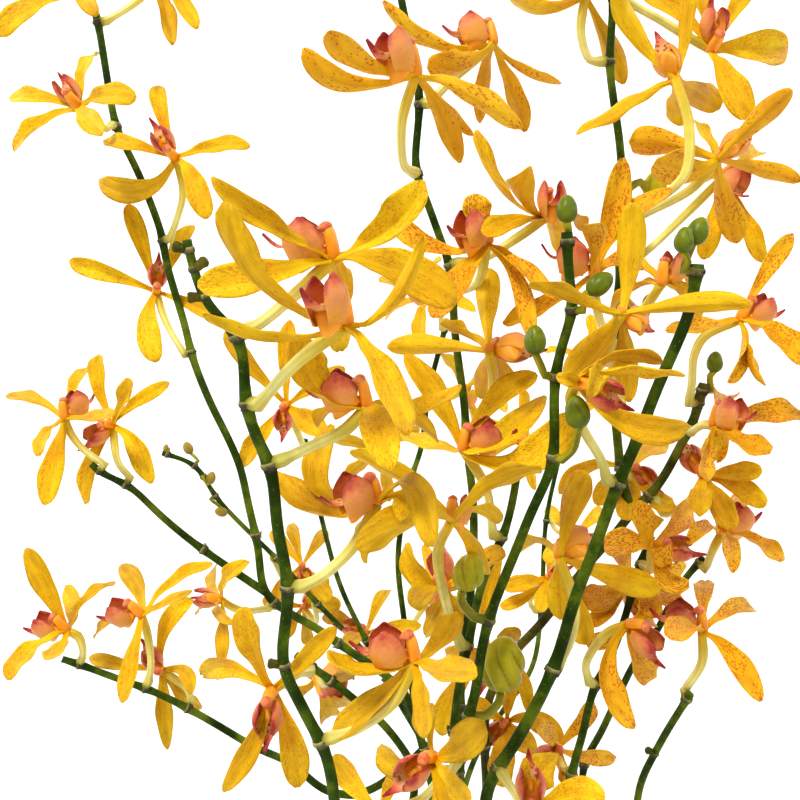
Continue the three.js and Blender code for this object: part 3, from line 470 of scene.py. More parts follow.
def lay_leaf(cane, index):
    height = cane["first_leaf"] + index * LEAF_SPACING
    axis = cane_place(cane, height)
    turn = math.radians(cane["rank"] + (index % 2) * 180 + 7 * math.sin(index * 2.3 + cane["rank"]))
    out, up = Vector((math.cos(turn), math.sin(turn), 0)), Vector((0, 0, 1))
    across = up.cross(out)
    length = LEAF_LENGTH * (1 - 0.06 * index)
    base = axis + out * (CANE_RADIUS + 0.45)
    corners = [base + (out * reach + up * rise) * length
               for reach, rise in ((0, 0), (0.2, 0.22), (0.62, 0.42), (0.98, 0.1 + 0.02 * index))]
    places, uv, marks = [], [], []
    for x, y, z in strap_points:
        s = (y + 1) / 2
        centre, way = bezier(*corners, s)
        normal = way.cross(across)
        notch = 1 + (0.012 if x > 0 else -0.006) * min(1, abs(x) * 3) if s > 0.97 else 1
        half = LEAF_HALF * min(1, 0.5 + 2.2 * s) * math.sqrt(max(0, 1 - (s * 0.985) ** 5))
        thick = 2.0 * (1 - 0.5 * s) * (1 - 0.6 * x * x) * z / 0.05 / 2
        fold = 5.2 * (1 - 0.55 * s) * (abs(x) - 0.12 * (1 - x * x)) + 0.5 * math.sin(9 * s + index) * x * x
        spread = centre + across * (x * half) + normal * (fold + thick) + way * (notch - 1) * length
        grip = max(0.0, 1 - s / 0.1)
        grip = grip * grip * (3 - 2 * grip)
        arc = x * 2.3
        reach = CANE_RADIUS - 0.2 + 0.6 * (z > 0) + s * 12
        rise = s * length * 0.75 - 6 * (1 - s * 10)
        wrapped = axis + (out * math.cos(arc) + across * math.sin(arc)) * reach + up * rise
        places.append(spread.lerp(wrapped, grip))
        uv.append((x * half / FLAT_SIZE + 0.5, s * length / FLAT_SIZE))
        marks.append((s, abs(x), index / 6))
    return places, strap_faces, 0, uv, marks


def flat_place(tree):
    return node(tree, "ShaderNodeUVMap", {"uv_map": "flat"}).outputs["UV"]


def face_outwards(piece):
    take_up(piece)
    bpy.ops.object.mode_set(mode="EDIT")
    bpy.ops.mesh.select_all(action="SELECT")
    bpy.ops.mesh.normals_make_consistent(inside=False)
    bpy.ops.object.mode_set(mode="OBJECT")


leaf_green, tree, shader = finish("leaf_green", 0.42, coat=0.25, glow=0.1)
place = in_object(tree)
along, edge, _ = growth(tree)
veins = node(tree, "ShaderNodeTexWave", {"bands_direction": "X"}, Vector=flat_place(tree), Scale=9,
             Distortion=0.6, Detail=1).outputs["Fac"]
blotch = times(tree, mottle(tree, place, 30, 0.3, 0.7), 0.6)
shade = calc(tree, "ADD", blotch, times(tree, veins, 0.25))
green = shades(tree, shade, (0, dye(44, 72, 22)), (0.5, dye(66, 98, 34)), (1, dye(96, 126, 54)))
keel = fading(tree, edge, 0.0, 0.12)
green = mingle(tree, times(tree, keel, 0.5), green, dye(126, 150, 76))
worn = times(tree, between(tree, along, 0.9, 1.0), mottle(tree, place, 90, 0.4, 0.6))
green = mingle(tree, worn, green, dye(150, 128, 66))
paint(tree, shader, green)
relief(tree, shader, veins, 0.25, 0.0004)
for number, cane in enumerate(CANES, 1):
    for index in range(cane["leaves"]):
        leaf = gathered(f"leaf_{number}_{index + 1}_strap", [lay_leaf(cane, index)])
        face_outwards(leaf)
        set_in(leaf, [f"leaf_{number}_{index + 1}"], "leaf", leaf_green)


# Sprays. Seven green stalks from the canes, some branched, with a dark ring and a bract at each node.
# Each is drawn through its real places, swollen at its nodes and drawn out thinner to its tip.
# A place is given as the column and row of an 800 by 800 picture and a distance from where it is seen.
SIGHT = Vector((-27, -400, 740))
FOCAL = 900
PICTURE = 800


def seen(column, row, distance):
    return Vector((SIGHT.x + (column - PICTURE / 2) / FOCAL * distance, SIGHT.y + distance,
                   SIGHT.z - (row - PICTURE / 2) / FOCAL * distance))


SPRAYS = {
    "left": {"radius": 1.8, "root": [(-31, -9, 396), (-25, -4, 430), (-16, 2, 505)], "near": (405, 384),
        "route": [(432, 780), (424, 749), (417, 728), (407, 694), (389, 678), (372, 665), (355, 655),
                  (320, 630), (289, 613), (265, 594), (258, 546), (248, 503), (241, 469), (229, 440),
                  (209, 400), (191, 353), (186, 329), (172, 283), (165, 258), (163, 239), (138, 172),
                  (116, 127), (110, 96), (103, 52), (98, 22), (91, -5), (84, -45), (80, -72), (79, -100)]},
    "left_low": {"on": "left", "radius": 1.6, "near": (404, 366),
        "route": [(424, 749), (398, 772), (362, 794), (327, 792), (290, 762), (258, 749), (214, 723),
                  (172, 700), (145, 688), (110, 676), (79, 664), (62, 659)]},
    "left_side": {"on": "left", "radius": 1.6, "near": (399, 386),
        "route": [(265, 594), (225, 565), (190, 540), (160, 515), (127, 484), (103, 475), (91, 464)]},
    "front": {"radius": 1.8, "root": [(-42.4, -23.7, 372), (-46, -62, 425), (-48, -104, 520)],
        "near": (262, 216), "bare_tip": 0.25,
        "stubs": [((283, 668), (-1, 0.1)), ((199, 299), (-1, 0.2)), ((196, 268), (0.9, 0.5)),
                  ((188, 246), (-0.7, 0.8))],
        "route": [(334, 795), (324, 747), (310, 723), (296, 694), (281, 666), (283, 640), (287, 613),
                  (289, 585), (277, 529), (271, 464), (257, 441), (245, 403), (244, 375), (241, 333),
                  (215, 317), (198, 298), (199, 284), (195, 269), (186, 253), (187, 240)]},
    "front_low": {"on": "front", "radius": 1.55, "root": [(-47, -92, 490), (-34, -84, 545)],
        "near": (334, 318),
        "route": [(415, 771), (403, 749), (383, 723), (355, 700), (331, 680), (310, 666), (296, 655)]},
    "middle": {"radius": 1.75, "root": [(30, -27, 392), (16, -56, 450), (0, -84, 535)], "near": (298, 268),
        "route": [(457, 788), (465, 725), (474, 702), (481, 651), (491, 612), (507, 572), (521, 538),
                  (533, 507), (553, 465), (554, 407), (555, 376), (564, 338), (574, 310), (572, 296),
                  (568, 269), (567, 232)]},
    "middle_side": {"on": "middle", "radius": 1.6, "root": [(2, -80, 524), (-2, -82, 570)],
        "near": (318, 308),
        "route": [(454, 733), (461, 676), (471, 632), (479, 593), (493, 555), (503, 538), (514, 495),
                  (517, 474)]},
    "middle_tall": {"on": "middle", "radius": 1.5, "root": [(1, -82, 528), (-5, -78, 590)],
        "near": (334, 302),
        "route": [(461, 680), (470, 600), (474, 534), (472, 486), (467, 452), (465, 410), (460, 372),
                  (455, 336), (450, 265), (441, 241), (424, 193), (415, 172), (420, 96), (409, 34),
                  (401, 0), (396, -50), (398, -78)]},
    "right": {"radius": 2.1, "root": [(40.4, -29.6, 428), (26, -60, 480), (12, -86, 555)],
        "near": (300, 275),
        "route": [(486, 793), (514, 745), (538, 702), (556, 662), (576, 595), (592, 555), (604, 521),
                  (618, 483), (637, 441), (654, 395), (673, 352), (688, 317), (695, 286), (697, 264)]},
    "right_low": {"radius": 1.6, "root": [(45.5, -23.7, 365), (56, -50, 430), (48, -68, 530)],
        "near": (322, 330),
        "route": [(571, 778), (583, 735), (594, 685), (604, 671), (623, 625), (632, 592), (640, 564),
                  (652, 536)]},
    "right_side": {"on": "right_low", "radius": 1.55, "root": [(55, -56, 455), (68, -52, 520)],
        "near": (350, 320), "stubs": [((656, 751), (-1, 0.3))],
        "route": [(637, 800), (657, 749), (690, 694)]},
    "right_high": {"on": "right_low", "radius": 1.5, "root": [(50, -60, 500), (54, -38, 550)],
        "near": (372, 342),
        "route": [(582, 770), (600, 735), (618, 696), (637, 658), (657, 632), (673, 597), (694, 567),
                  (704, 558)]},
    "right_back": {"radius": 2.0, "root": [(3.7, 36.3, 392), (10, 16, 440), (13, 0, 510)],
        "near": (392, 332), "ripe": 1.0,
        "route": [(487, 800), (486, 771), (484, 735), (488, 700), (500, 675), (517, 648), (534, 632),
                  (552, 610), (600, 550), (616, 534), (632, 511), (650, 496), (671, 465), (682, 441),
                  (695, 422), (699, 396), (704, 384)]},
    "right_tall": {"on": "right_back", "radius": 1.6, "near": (352, 322),
        "route": [(632, 511), (622, 480), (617, 434), (614, 400), (616, 330), (621, 250), (621, 155),
                  (614, 103), (609, 62), (611, 40), (613, 0), (616, -40), (612, -66)]},
    "back": {"radius": 1.75, "root": [(4, 56, 372), (2, 76, 425), (-4, 96, 500)], "near": (520, 500),
        "route": [(425, 760), (412, 690), (405, 627), (398, 555), (412, 475), (421, 450), (428, 395),
                  (437, 358), (446, 325)]},
    "back_left": {"on": "back", "radius": 1.4, "near": (518, 470),
        "route": [(419, 728), (372, 660), (318, 604), (276, 558), (243, 526), (215, 496), (195, 465),
                  (162, 453)]},
    "back_inner": {"on": "back", "radius": 1.4, "near": (519, 420),
        "route": [(421, 740), (392, 690), (366, 640), (340, 585), (322, 520), (310, 470), (305, 440)]},
    "back_right": {"on": "back", "radius": 1.55, "root": [(-3, 92, 485), (14, 116, 530)],
        "near": (545, 560),
        "route": [(500, 715), (532, 668), (541, 611), (546, 521), (560, 455), (572, 400)]},
}

BUDS = [
    # Branch, node, way of the stem, middle and its distance, length, pointing (right, up, nearer).
    ("left", (79, -98), [], (77, -124), 384, 10, (-0.1, 1, 0)),
    ("left", (79, -92), [(68, -96)], (62, -110), 388, 8, (-0.5, 1, 0)),
    ("left", (80, -76), [(93, -80)], (98, -96), 378, 11, (0.4, 1, 0)),
    ("middle_tall", (398, -76), [], (399, -104), 302, 9, (0.1, 1, 0)),
    ("middle_tall", (397, -62), [(384, -68)], (378, -86), 304, 10, (-0.4, 1, 0)),
    ("middle_tall", (396, -46), [(410, -52)], (418, -70), 298, 12, (0.4, 1, 0)),
    ("right_tall", (612, -64), [], (610, -90), 322, 9, (0, 1, 0)),
    ("right_tall", (613, -54), [(600, -58)], (592, -76), 326, 10, (-0.4, 1, 0)),
    ("middle", (567, 234), [], (567, 209), 268, 8.5, (0, 1, 0)),
    ("middle", (574, 310), [(584, 296)], (600, 284), 266, 9, (0.75, 0.6, 0)),
    ("middle", (555, 378), [(541, 366)], (535, 340), 270, 9, (0, 1, 0.1)),
    ("middle", (554, 455), [(573, 450), (578, 432)], (577, 412), 262, 10, (-0.2, 1, 0)),
    ("middle", (489, 620), [(474, 617), (461, 600)], (469, 572), 286, 12.5, (0.35, 1, 0)),
    ("middle", (467, 720), [(484, 716), (499, 702)], (503, 664), 304, 19, (0.1, 1, 0.1)),
    ("right", (697, 266), [(688, 262)], (684, 240), 272, 8, (0.1, 1, 0.1)),
    ("right", (697, 264), [], (698, 231), 275, 9, (0.4, 1, 0)),
    ("right_back", (704, 384), [(710, 376)], (715, 362), 330, 8, (0.1, 1, 0)),
    ("back_left", (215, 496), [(218, 505)], (221, 512), 478, 7, (-0.6, 0.2, 0.3)),
    ("back_left", (203, 478), [(208, 484)], (211, 478), 476, 7, (0.3, 1, 0)),
    ("back_left", (195, 465), [(194, 456)], (188, 448), 474, 7, (-0.5, 1, 0)),
    ("back_left", (164, 453), [], (166, 448), 470, 4, (0.1, 1, 0)),
    ("right_tall", (621, 190), [(640, 182)], (656, 184), 340, 12, (0.5, 1, 0)),
]

# Flowers that are pieces of their own: name, branch, node, way of the stem, middle and its distance,
# facing (right, up, nearer), end of the lip (nearer by, size), and the tips of back sepal, two petals
# and two side sepals (nearer by, and in braces how it is bent). Nearer is in millimetres.
FLOWERS = [
    ("flower_02", "left", (98, 22), [(112, 18), (141, -2)], (152, -20), 388, (0.2, 0.9, 0.4), None,
     [(215, -45), (197, 28), (172, 45), (110, -62), (165, -95)]),
    ("flower_03", "left", (116, 127), [(106, 129)], (80, 108), 374, (-0.35, 0.45, 0.8), (60, 78),
     [(10, 98), (97, 52), (10, 150), (135, 98), (102, 136)]),
    ("flower_04", "left", (163, 239), [(176, 222), (183, 192)], (176, 158), 380, (-0.15, 0.1, 0.98),
     (160, 132),
     [(157, 82, {"broad": 0.9}), (103, 140), (250, 143, {"broad": 0.9}),
      (99, 180, {"middle": (143, 190), "broad": 1.1}), (205, 219, {"middle": (194, 180)})]),
    ("flower_05", "left", (191, 353), [(172, 334), (162, 312)], (157, 292), 405, (0.25, 0.1, 0.95),
     (158, 274),
     [(128, 205), (68, 262), (192, 222), (157, 362, {"middle": (148, 322), "broad": 1.1}),
      (222, 320, {"broad": 0.7})]),
    ("flower_06", "left_side", (98, 471), [(84, 450), (71, 434)], (65, 419), 380, (-0.15, 0.97, 0.15),
     (64, 384),
     [(8, 396), (38, 455, {"middle": (46, 432), "broad": 0.7}), (87, 367, {"broad": 0.9}),
      (112, 412, {"middle": (90, 418), "broad": 0.8}), (44, 505, {"middle": (56, 458), "broad": 1.1})]),
    ("flower_07", "left_side", (127, 484), [(118, 462)], (113, 426), 394, (-0.3, 0.2, 0.9), (100, 440),
     [(134, 384, {"middle": (124, 398), "broad": 1.1}), (98, 352, -4), (168, 383, {"broad": 0.8}),
      (150, 484, {"middle": (136, 446), "broad": 1.1}), (86, 503, -8)]),
    ("flower_08", "left_low", (80, 664), [(83, 650), (78, 636)], (67, 631), 362, (-0.45, 0.8, 0.35),
     (42, 624),
     [(115, 582, {"broad": 0.75}), (66, 586, {"middle": (74, 612)}),
      (52, 656, {"middle": (60, 648), "broad": 1.2}), (27, 548, {"middle": (50, 592)}), (8, 679)]),
    ("flower_09", "left_low", (145, 688), [(151, 662), (147, 632)], (142, 616), 366, (-0.5, 0.75, 0.4),
     (116, 612),
     [(212, 562, {"broad": 0.75}), (120, 564, {"middle": (138, 588), "broad": 1.1}),
      (190, 590, {"middle": (160, 606), "broad": 0.6}), (122, 703, {"middle": (134, 660)}),
      (92, 636, {"broad": 0.6})]),
    ("flower_10", "left_low", (186, 705), [(188, 690)], (162, 670), 390, (0.05, 0.15, 0.98), (152, 652),
     [(193, 600, {"middle": (166, 626)}), (88, 657, {"broad": 0.85}),
      (190, 694, {"middle": (184, 672), "broad": 0.9, "blunt": 1.2}),
      (167, 751, -4, {"middle": (164, 700), "broad": 0.8, "blunt": 1.0}), (200, 708, -20, {"broad": 0.7})]),
    ("flower_11", "left", (273, 600), [(246, 611), (232, 607)], (222, 600), 402, (-0.75, 0.3, 0.5),
     (196, 596),
     [(247, 562, {"broad": 0.9}), (213, 564, {"middle": (213, 582)}), (233, 624, {"broad": 0.6}),
      (221, 664, {"middle": (224, 628), "broad": 0.75}), (200, 612, {"broad": 0.8})]),
    ("flower_12", "front_low", (310, 666), [(298, 674)], (273, 690), 298, (-0.1, 0, 0.99), (271, 733),
     [(247, 607, {"middle": (250, 645), "broad": 1.1}), (203, 675, {"middle": (230, 668)}),
      (336, 627, {"broad": 0.85}), (222, 793, {"middle": (254, 742), "broad": 0.8, "blunt": 1.1}),
      (297, 786, {"middle": (290, 735)})]),
    ("flower_13", "front", (245, 403), [(295, 364)], (345, 326), 206, (-0.1, 0.98, 0.05), (318, 310, 10),
     [(423, 236, 6, {"middle": (391, 304), "turn": 50, "broad": 0.45}),
      (406, 436, {"middle": (379, 366), "broad": 0.95, "turn": -20, "blunt": 2.2}), (340, 352, -30),
      (228, 202, {"middle": (262, 284), "broad": 0.95, "turn": 15, "blunt": 2.8}),
      (205, 308, {"middle": (266, 338), "turn": 5, "broad": 0.38})]),
    ("flower_14", "front", (241, 333), [(262, 322), (300, 290)], (333, 260), 224, (-0.1, 0.97, 0.2),
     (286, 244),
     [(420, 183, {"middle": (386, 228), "turn": -60, "broad": 1.05, "blunt": 2.2}),
      (456, 304, -8, {"middle": (393, 266), "broad": 1.45, "turn": -35, "blunt": 2.6}),
      (346, 306, -26, {"broad": 0.8}),
      (212, 178, {"middle": (271, 225), "turn": 30, "broad": 0.62, "blunt": 1.1}),
      (199, 283, {"middle": (268, 275), "turn": 15, "broad": 0.85, "blunt": 2.8})]),
    ("flower_15", "front", (271, 464), [(312, 446), (345, 430)], (366, 408), 238, (-0.1, 0.95, 0.25),
     (330, 405),
     [(440, 440, -12), (390, 468, {"broad": 1.1}), (460, 383, {"middle": (406, 414)}),
      (302, 335, 8, {"middle": (318, 388), "broad": 1.15, "blunt": 2.2}), (318, 424, -20)]),
    ("flower_17", "front", (290, 585), [(321, 577), (352, 548)], (377, 504), 244, (-0.15, 0.95, 0.25),
     (324, 482, 11),
     [(428, 545, {"middle": (412, 484), "broad": 0.9}),
      (397, 519, 10, {"middle": (402, 498), "broad": 0.7}), (366, 562, -30),
      (272, 466, {"middle": (316, 509), "broad": 1.1, "blunt": 2.6}),
      (333, 426, {"middle": (318, 486), "broad": 0.8, "blunt": 2.4})]),
    ("flower_18", "front", (323, 743), [(355, 730), (392, 704)], (414, 662), 252, (-0.1, 0.95, 0.25),
     (353, 663),
     [(457, 612, {"middle": (440, 640), "turn": -30}), (471, 672, {"middle": (440, 668), "broad": 1.1}),
      (330, 650, 6, {"middle": (363, 672), "broad": 0.8, "turn": -8}),
      (426, 735, {"middle": (421, 696), "broad": 0.75, "turn": -40}),
      (331, 734, -6, {"middle": (375, 703), "broad": 0.9})]),
    ("flower_19", "middle_side", (466, 645), [(446, 603), (438, 552)], (451, 521), 272, (0.05, 0.9, -0.3),
     (462, 504, -9, 0.8),
     [(488, 573, {"middle": (474, 545), "broad": 0.9, "turn": 60}),
      (350, 452, {"middle": (404, 478), "broad": 1.1}),
      (357, 549, 42, {"middle": (415, 517, 8), "broad": 1.15, "turn": -58}), (540, 467),
      (498, 521, {"broad": 0.9})]),
    ("flower_20", "middle_side", (505, 538), [(486, 488)], (463, 450), 296, (0.05, 0.9, 0.4), (519, 446),
     [(402, 432, {"middle": (432, 445), "broad": 0.85, "turn": 15}),
      (547, 394, {"middle": (497, 440, 8), "broad": 1.15, "blunt": 1.3}),
      (537, 374, {"middle": (494, 402), "broad": 1.2}),
      (571, 412, {"middle": (523, 463), "broad": 1.3, "blunt": 2.4}), (407, 352, {"middle": (440, 404)})]),
    ("flower_21", "middle_tall", (466, 432), [(488, 408), (493, 378)], (489, 351), 294, (0.3, 0.4, -0.85),
     (520, 352),
     [(490, 268, -8, {"middle": (487, 306), "broad": 0.95}), (387, 346, {"middle": (436, 346)}),
      (508, 392, -26, {"middle": (502, 372)}),
      (440, 324, -12, {"middle": (465, 333), "turn": 55, "broad": 0.9}), (482, 398)]),
    ("flower_22", "middle_tall", (452, 290), [(478, 282)], (487, 244), 288, (-0.15, 0.95, 0.25),
     (446, 240, 14),
     [(557, 298, {"middle": (517, 264), "broad": 0.8, "turn": 20}),
      (476, 193, 6, {"middle": (478, 216), "broad": 1.15}),
      (529, 338, {"middle": (519, 284), "broad": 0.8}), (382, 204, {"middle": (431, 247), "broad": 0.75}),
      (432, 316, {"middle": (462, 278), "broad": 1.15})]),
    ("flower_23", "middle_tall", (450, 263), [(484, 258), (520, 236)], (547, 217), 300, (0, 0.95, 0.2),
     (556, 214, 14),
     [(585, 226, -20), (560, 250, -26), (529, 167, {"middle": (522, 197), "broad": 1.2, "blunt": 2.2}),
      (487, 230, {"middle": (515, 223), "broad": 1.1}),
      (477, 130, {"middle": (502, 188), "turn": -40, "broad": 0.8})]),
    ("flower_24", "middle_tall", (415, 172), [(404, 165), (402, 122)], (415, 76), 278, (-0.15, 0.97, 0.15),
     (388, 70, 9, 1.15),
     [(523, 127, {"middle": (468, 93), "turn": 28, "blunt": 1.8}),
      (460, 162, {"middle": (441, 113), "broad": 0.9}),
      (470, 132, {"middle": (442, 106), "broad": 0.6, "blunt": 1.1}),
      (304, 48, {"middle": (349, 84), "turn": -25, "broad": 0.75, "blunt": 2.4}),
      (330, 28, {"middle": (360, 64), "turn": -20, "broad": 0.85, "blunt": 2.2})]),
    ("flower_25", "middle_tall", (420, 100), [(450, 82)], (493, 44), 302, (-0.1, 0.95, -0.1), (450, 26),
     [(561, 83, {"middle": (523, 70), "turn": -40, "broad": 0.7}), (526, 131, {"middle": (512, 88)}),
      (479, 122, {"broad": 0.8}), (386, 0, {"middle": (432, 44), "broad": 0.8}),
      (430, 58, 14, {"middle": (463, 66), "broad": 1.15, "blunt": 2.4})]),
    ("flower_26", "right_tall", (609, 62), [(590, 60), (581, 34)], (585, -4), 328, (0, 0.95, 0.3), None,
     [(624, 84, -16, {"middle": (607, 42)}), (640, -50), (560, -70), (600, -62, -20),
      (508, -4, {"middle": (546, 10), "broad": 1.2})]),
    ("flower_27", "right_tall", (621, 204), [(654, 201, 297), (684, 176, 287), (689, 128, 293)], (676, 80),
     308, (0.2, 0.3, -0.9), (667, 58),
     [(613, -12, {"middle": (639, 38), "broad": 0.8}),
      (577, 136, {"middle": (631, 101), "broad": 0.85, "turn": -30}),
      (690, -32, {"middle": (685, 34), "broad": 0.7}), (718, 106, -28), (682, 121)]),
    ("flower_29", "right_tall", (622, 225), [(647, 213), (690, 190)], (717, 160), 306, (0.45, 0.45, -0.75),
     (748, 132),
     [(790, 91, {"middle": (752, 126), "broad": 0.9}), (800, 178, {"middle": (756, 168), "broad": 0.8}),
      (657, 157, 14, {"middle": (688, 170), "turn": -15, "broad": 1.5, "blunt": 3.0}),
      (739, 242, {"middle": (725, 205), "broad": 1.05}),
      (626, 142, 4, {"middle": (668, 144), "broad": 1.05, "blunt": 2.0})]),
    ("flower_30", "right", (640, 432), [(620, 396, 282), (610, 350, 275), (613, 328, 267)], (622, 314), 260,
     (0.2, 0.5, -0.85), (650, 326, -8, 0.75),
     [(632, 202, 4, {"middle": (630, 262)}),
      (531, 281, 12, {"middle": (576, 300), "turn": 50, "broad": 0.9}),
      (752, 302, 6, {"middle": (684, 305), "broad": 0.85}), (629, 402, -16, {"broad": 0.7}),
      (566, 384, -10, {"middle": (598, 345)})]),
    ("flower_31", "right_back", (697, 404), [(692, 382), (694, 356), (705, 336)], (740, 320), 318,
     (0.3, 0.85, 0.3), (780, 293),
     [(666, 331, {"middle": (706, 325), "broad": 0.95}), (794, 233, {"middle": (766, 272), "broad": 0.85}),
      (732, 382, {"middle": (744, 350), "turn": 75, "broad": 0.8}),
      (806, 361, {"middle": (776, 333), "broad": 1.1}),
      (763, 385, {"middle": (749, 354), "turn": 60, "broad": 0.8})]),
    ("flower_32", "right_back", (692, 428), [(703, 425)], (714, 426), 308, (0.15, 0.95, 0.1), (736, 416, 8),
     [(704, 480, {"middle": (707, 455), "turn": 50, "broad": 0.7}),
      (770, 455, {"middle": (742, 441), "broad": 1.1}), (716, 462, -20),
      (804, 414, {"middle": (762, 415), "turn": -30, "broad": 1.15}), (728, 395, -28)]),
    ("flower_33", "right", (618, 483), [(602, 462, 282), (584, 431, 277), (571, 402, 271)], (576, 382), 260,
     (0.45, -0.1, 0.85), (634, 410),
     [(587, 397, 15, {"middle": (598, 369), "broad": 0.85}),
      (662, 364, 3, {"middle": (617, 355), "broad": 0.75, "turn": -58}), (556, 377, 8, {"broad": 0.5}),
      (684, 381, 6, {"middle": (628, 369), "turn": -55, "broad": 0.6, "blunt": 1.2}),
      (691, 427, 4, {"middle": (630, 424), "broad": 0.85})]),
    ("flower_34", "right_tall", (617, 345), [(600, 320)], (592, 277), 292, (0.1, 0.9, 0.3), (538, 254),
     [(640, 268, -14), (622, 158, {"middle": (611, 222), "broad": 1.1}),
      (671, 187, {"middle": (622, 226), "broad": 0.95}),
      (502, 322, -8, {"middle": (548, 304), "broad": 0.8}), (588, 226, 22)]),
    ("flower_39", "right_side", (690, 694), [(702, 662)], (702, 632), 312, (-0.1, 0.95, 0.3), (676, 612),
     [(756, 606), (761, 702), (705, 580), (650, 600), (672, 640)]),
]

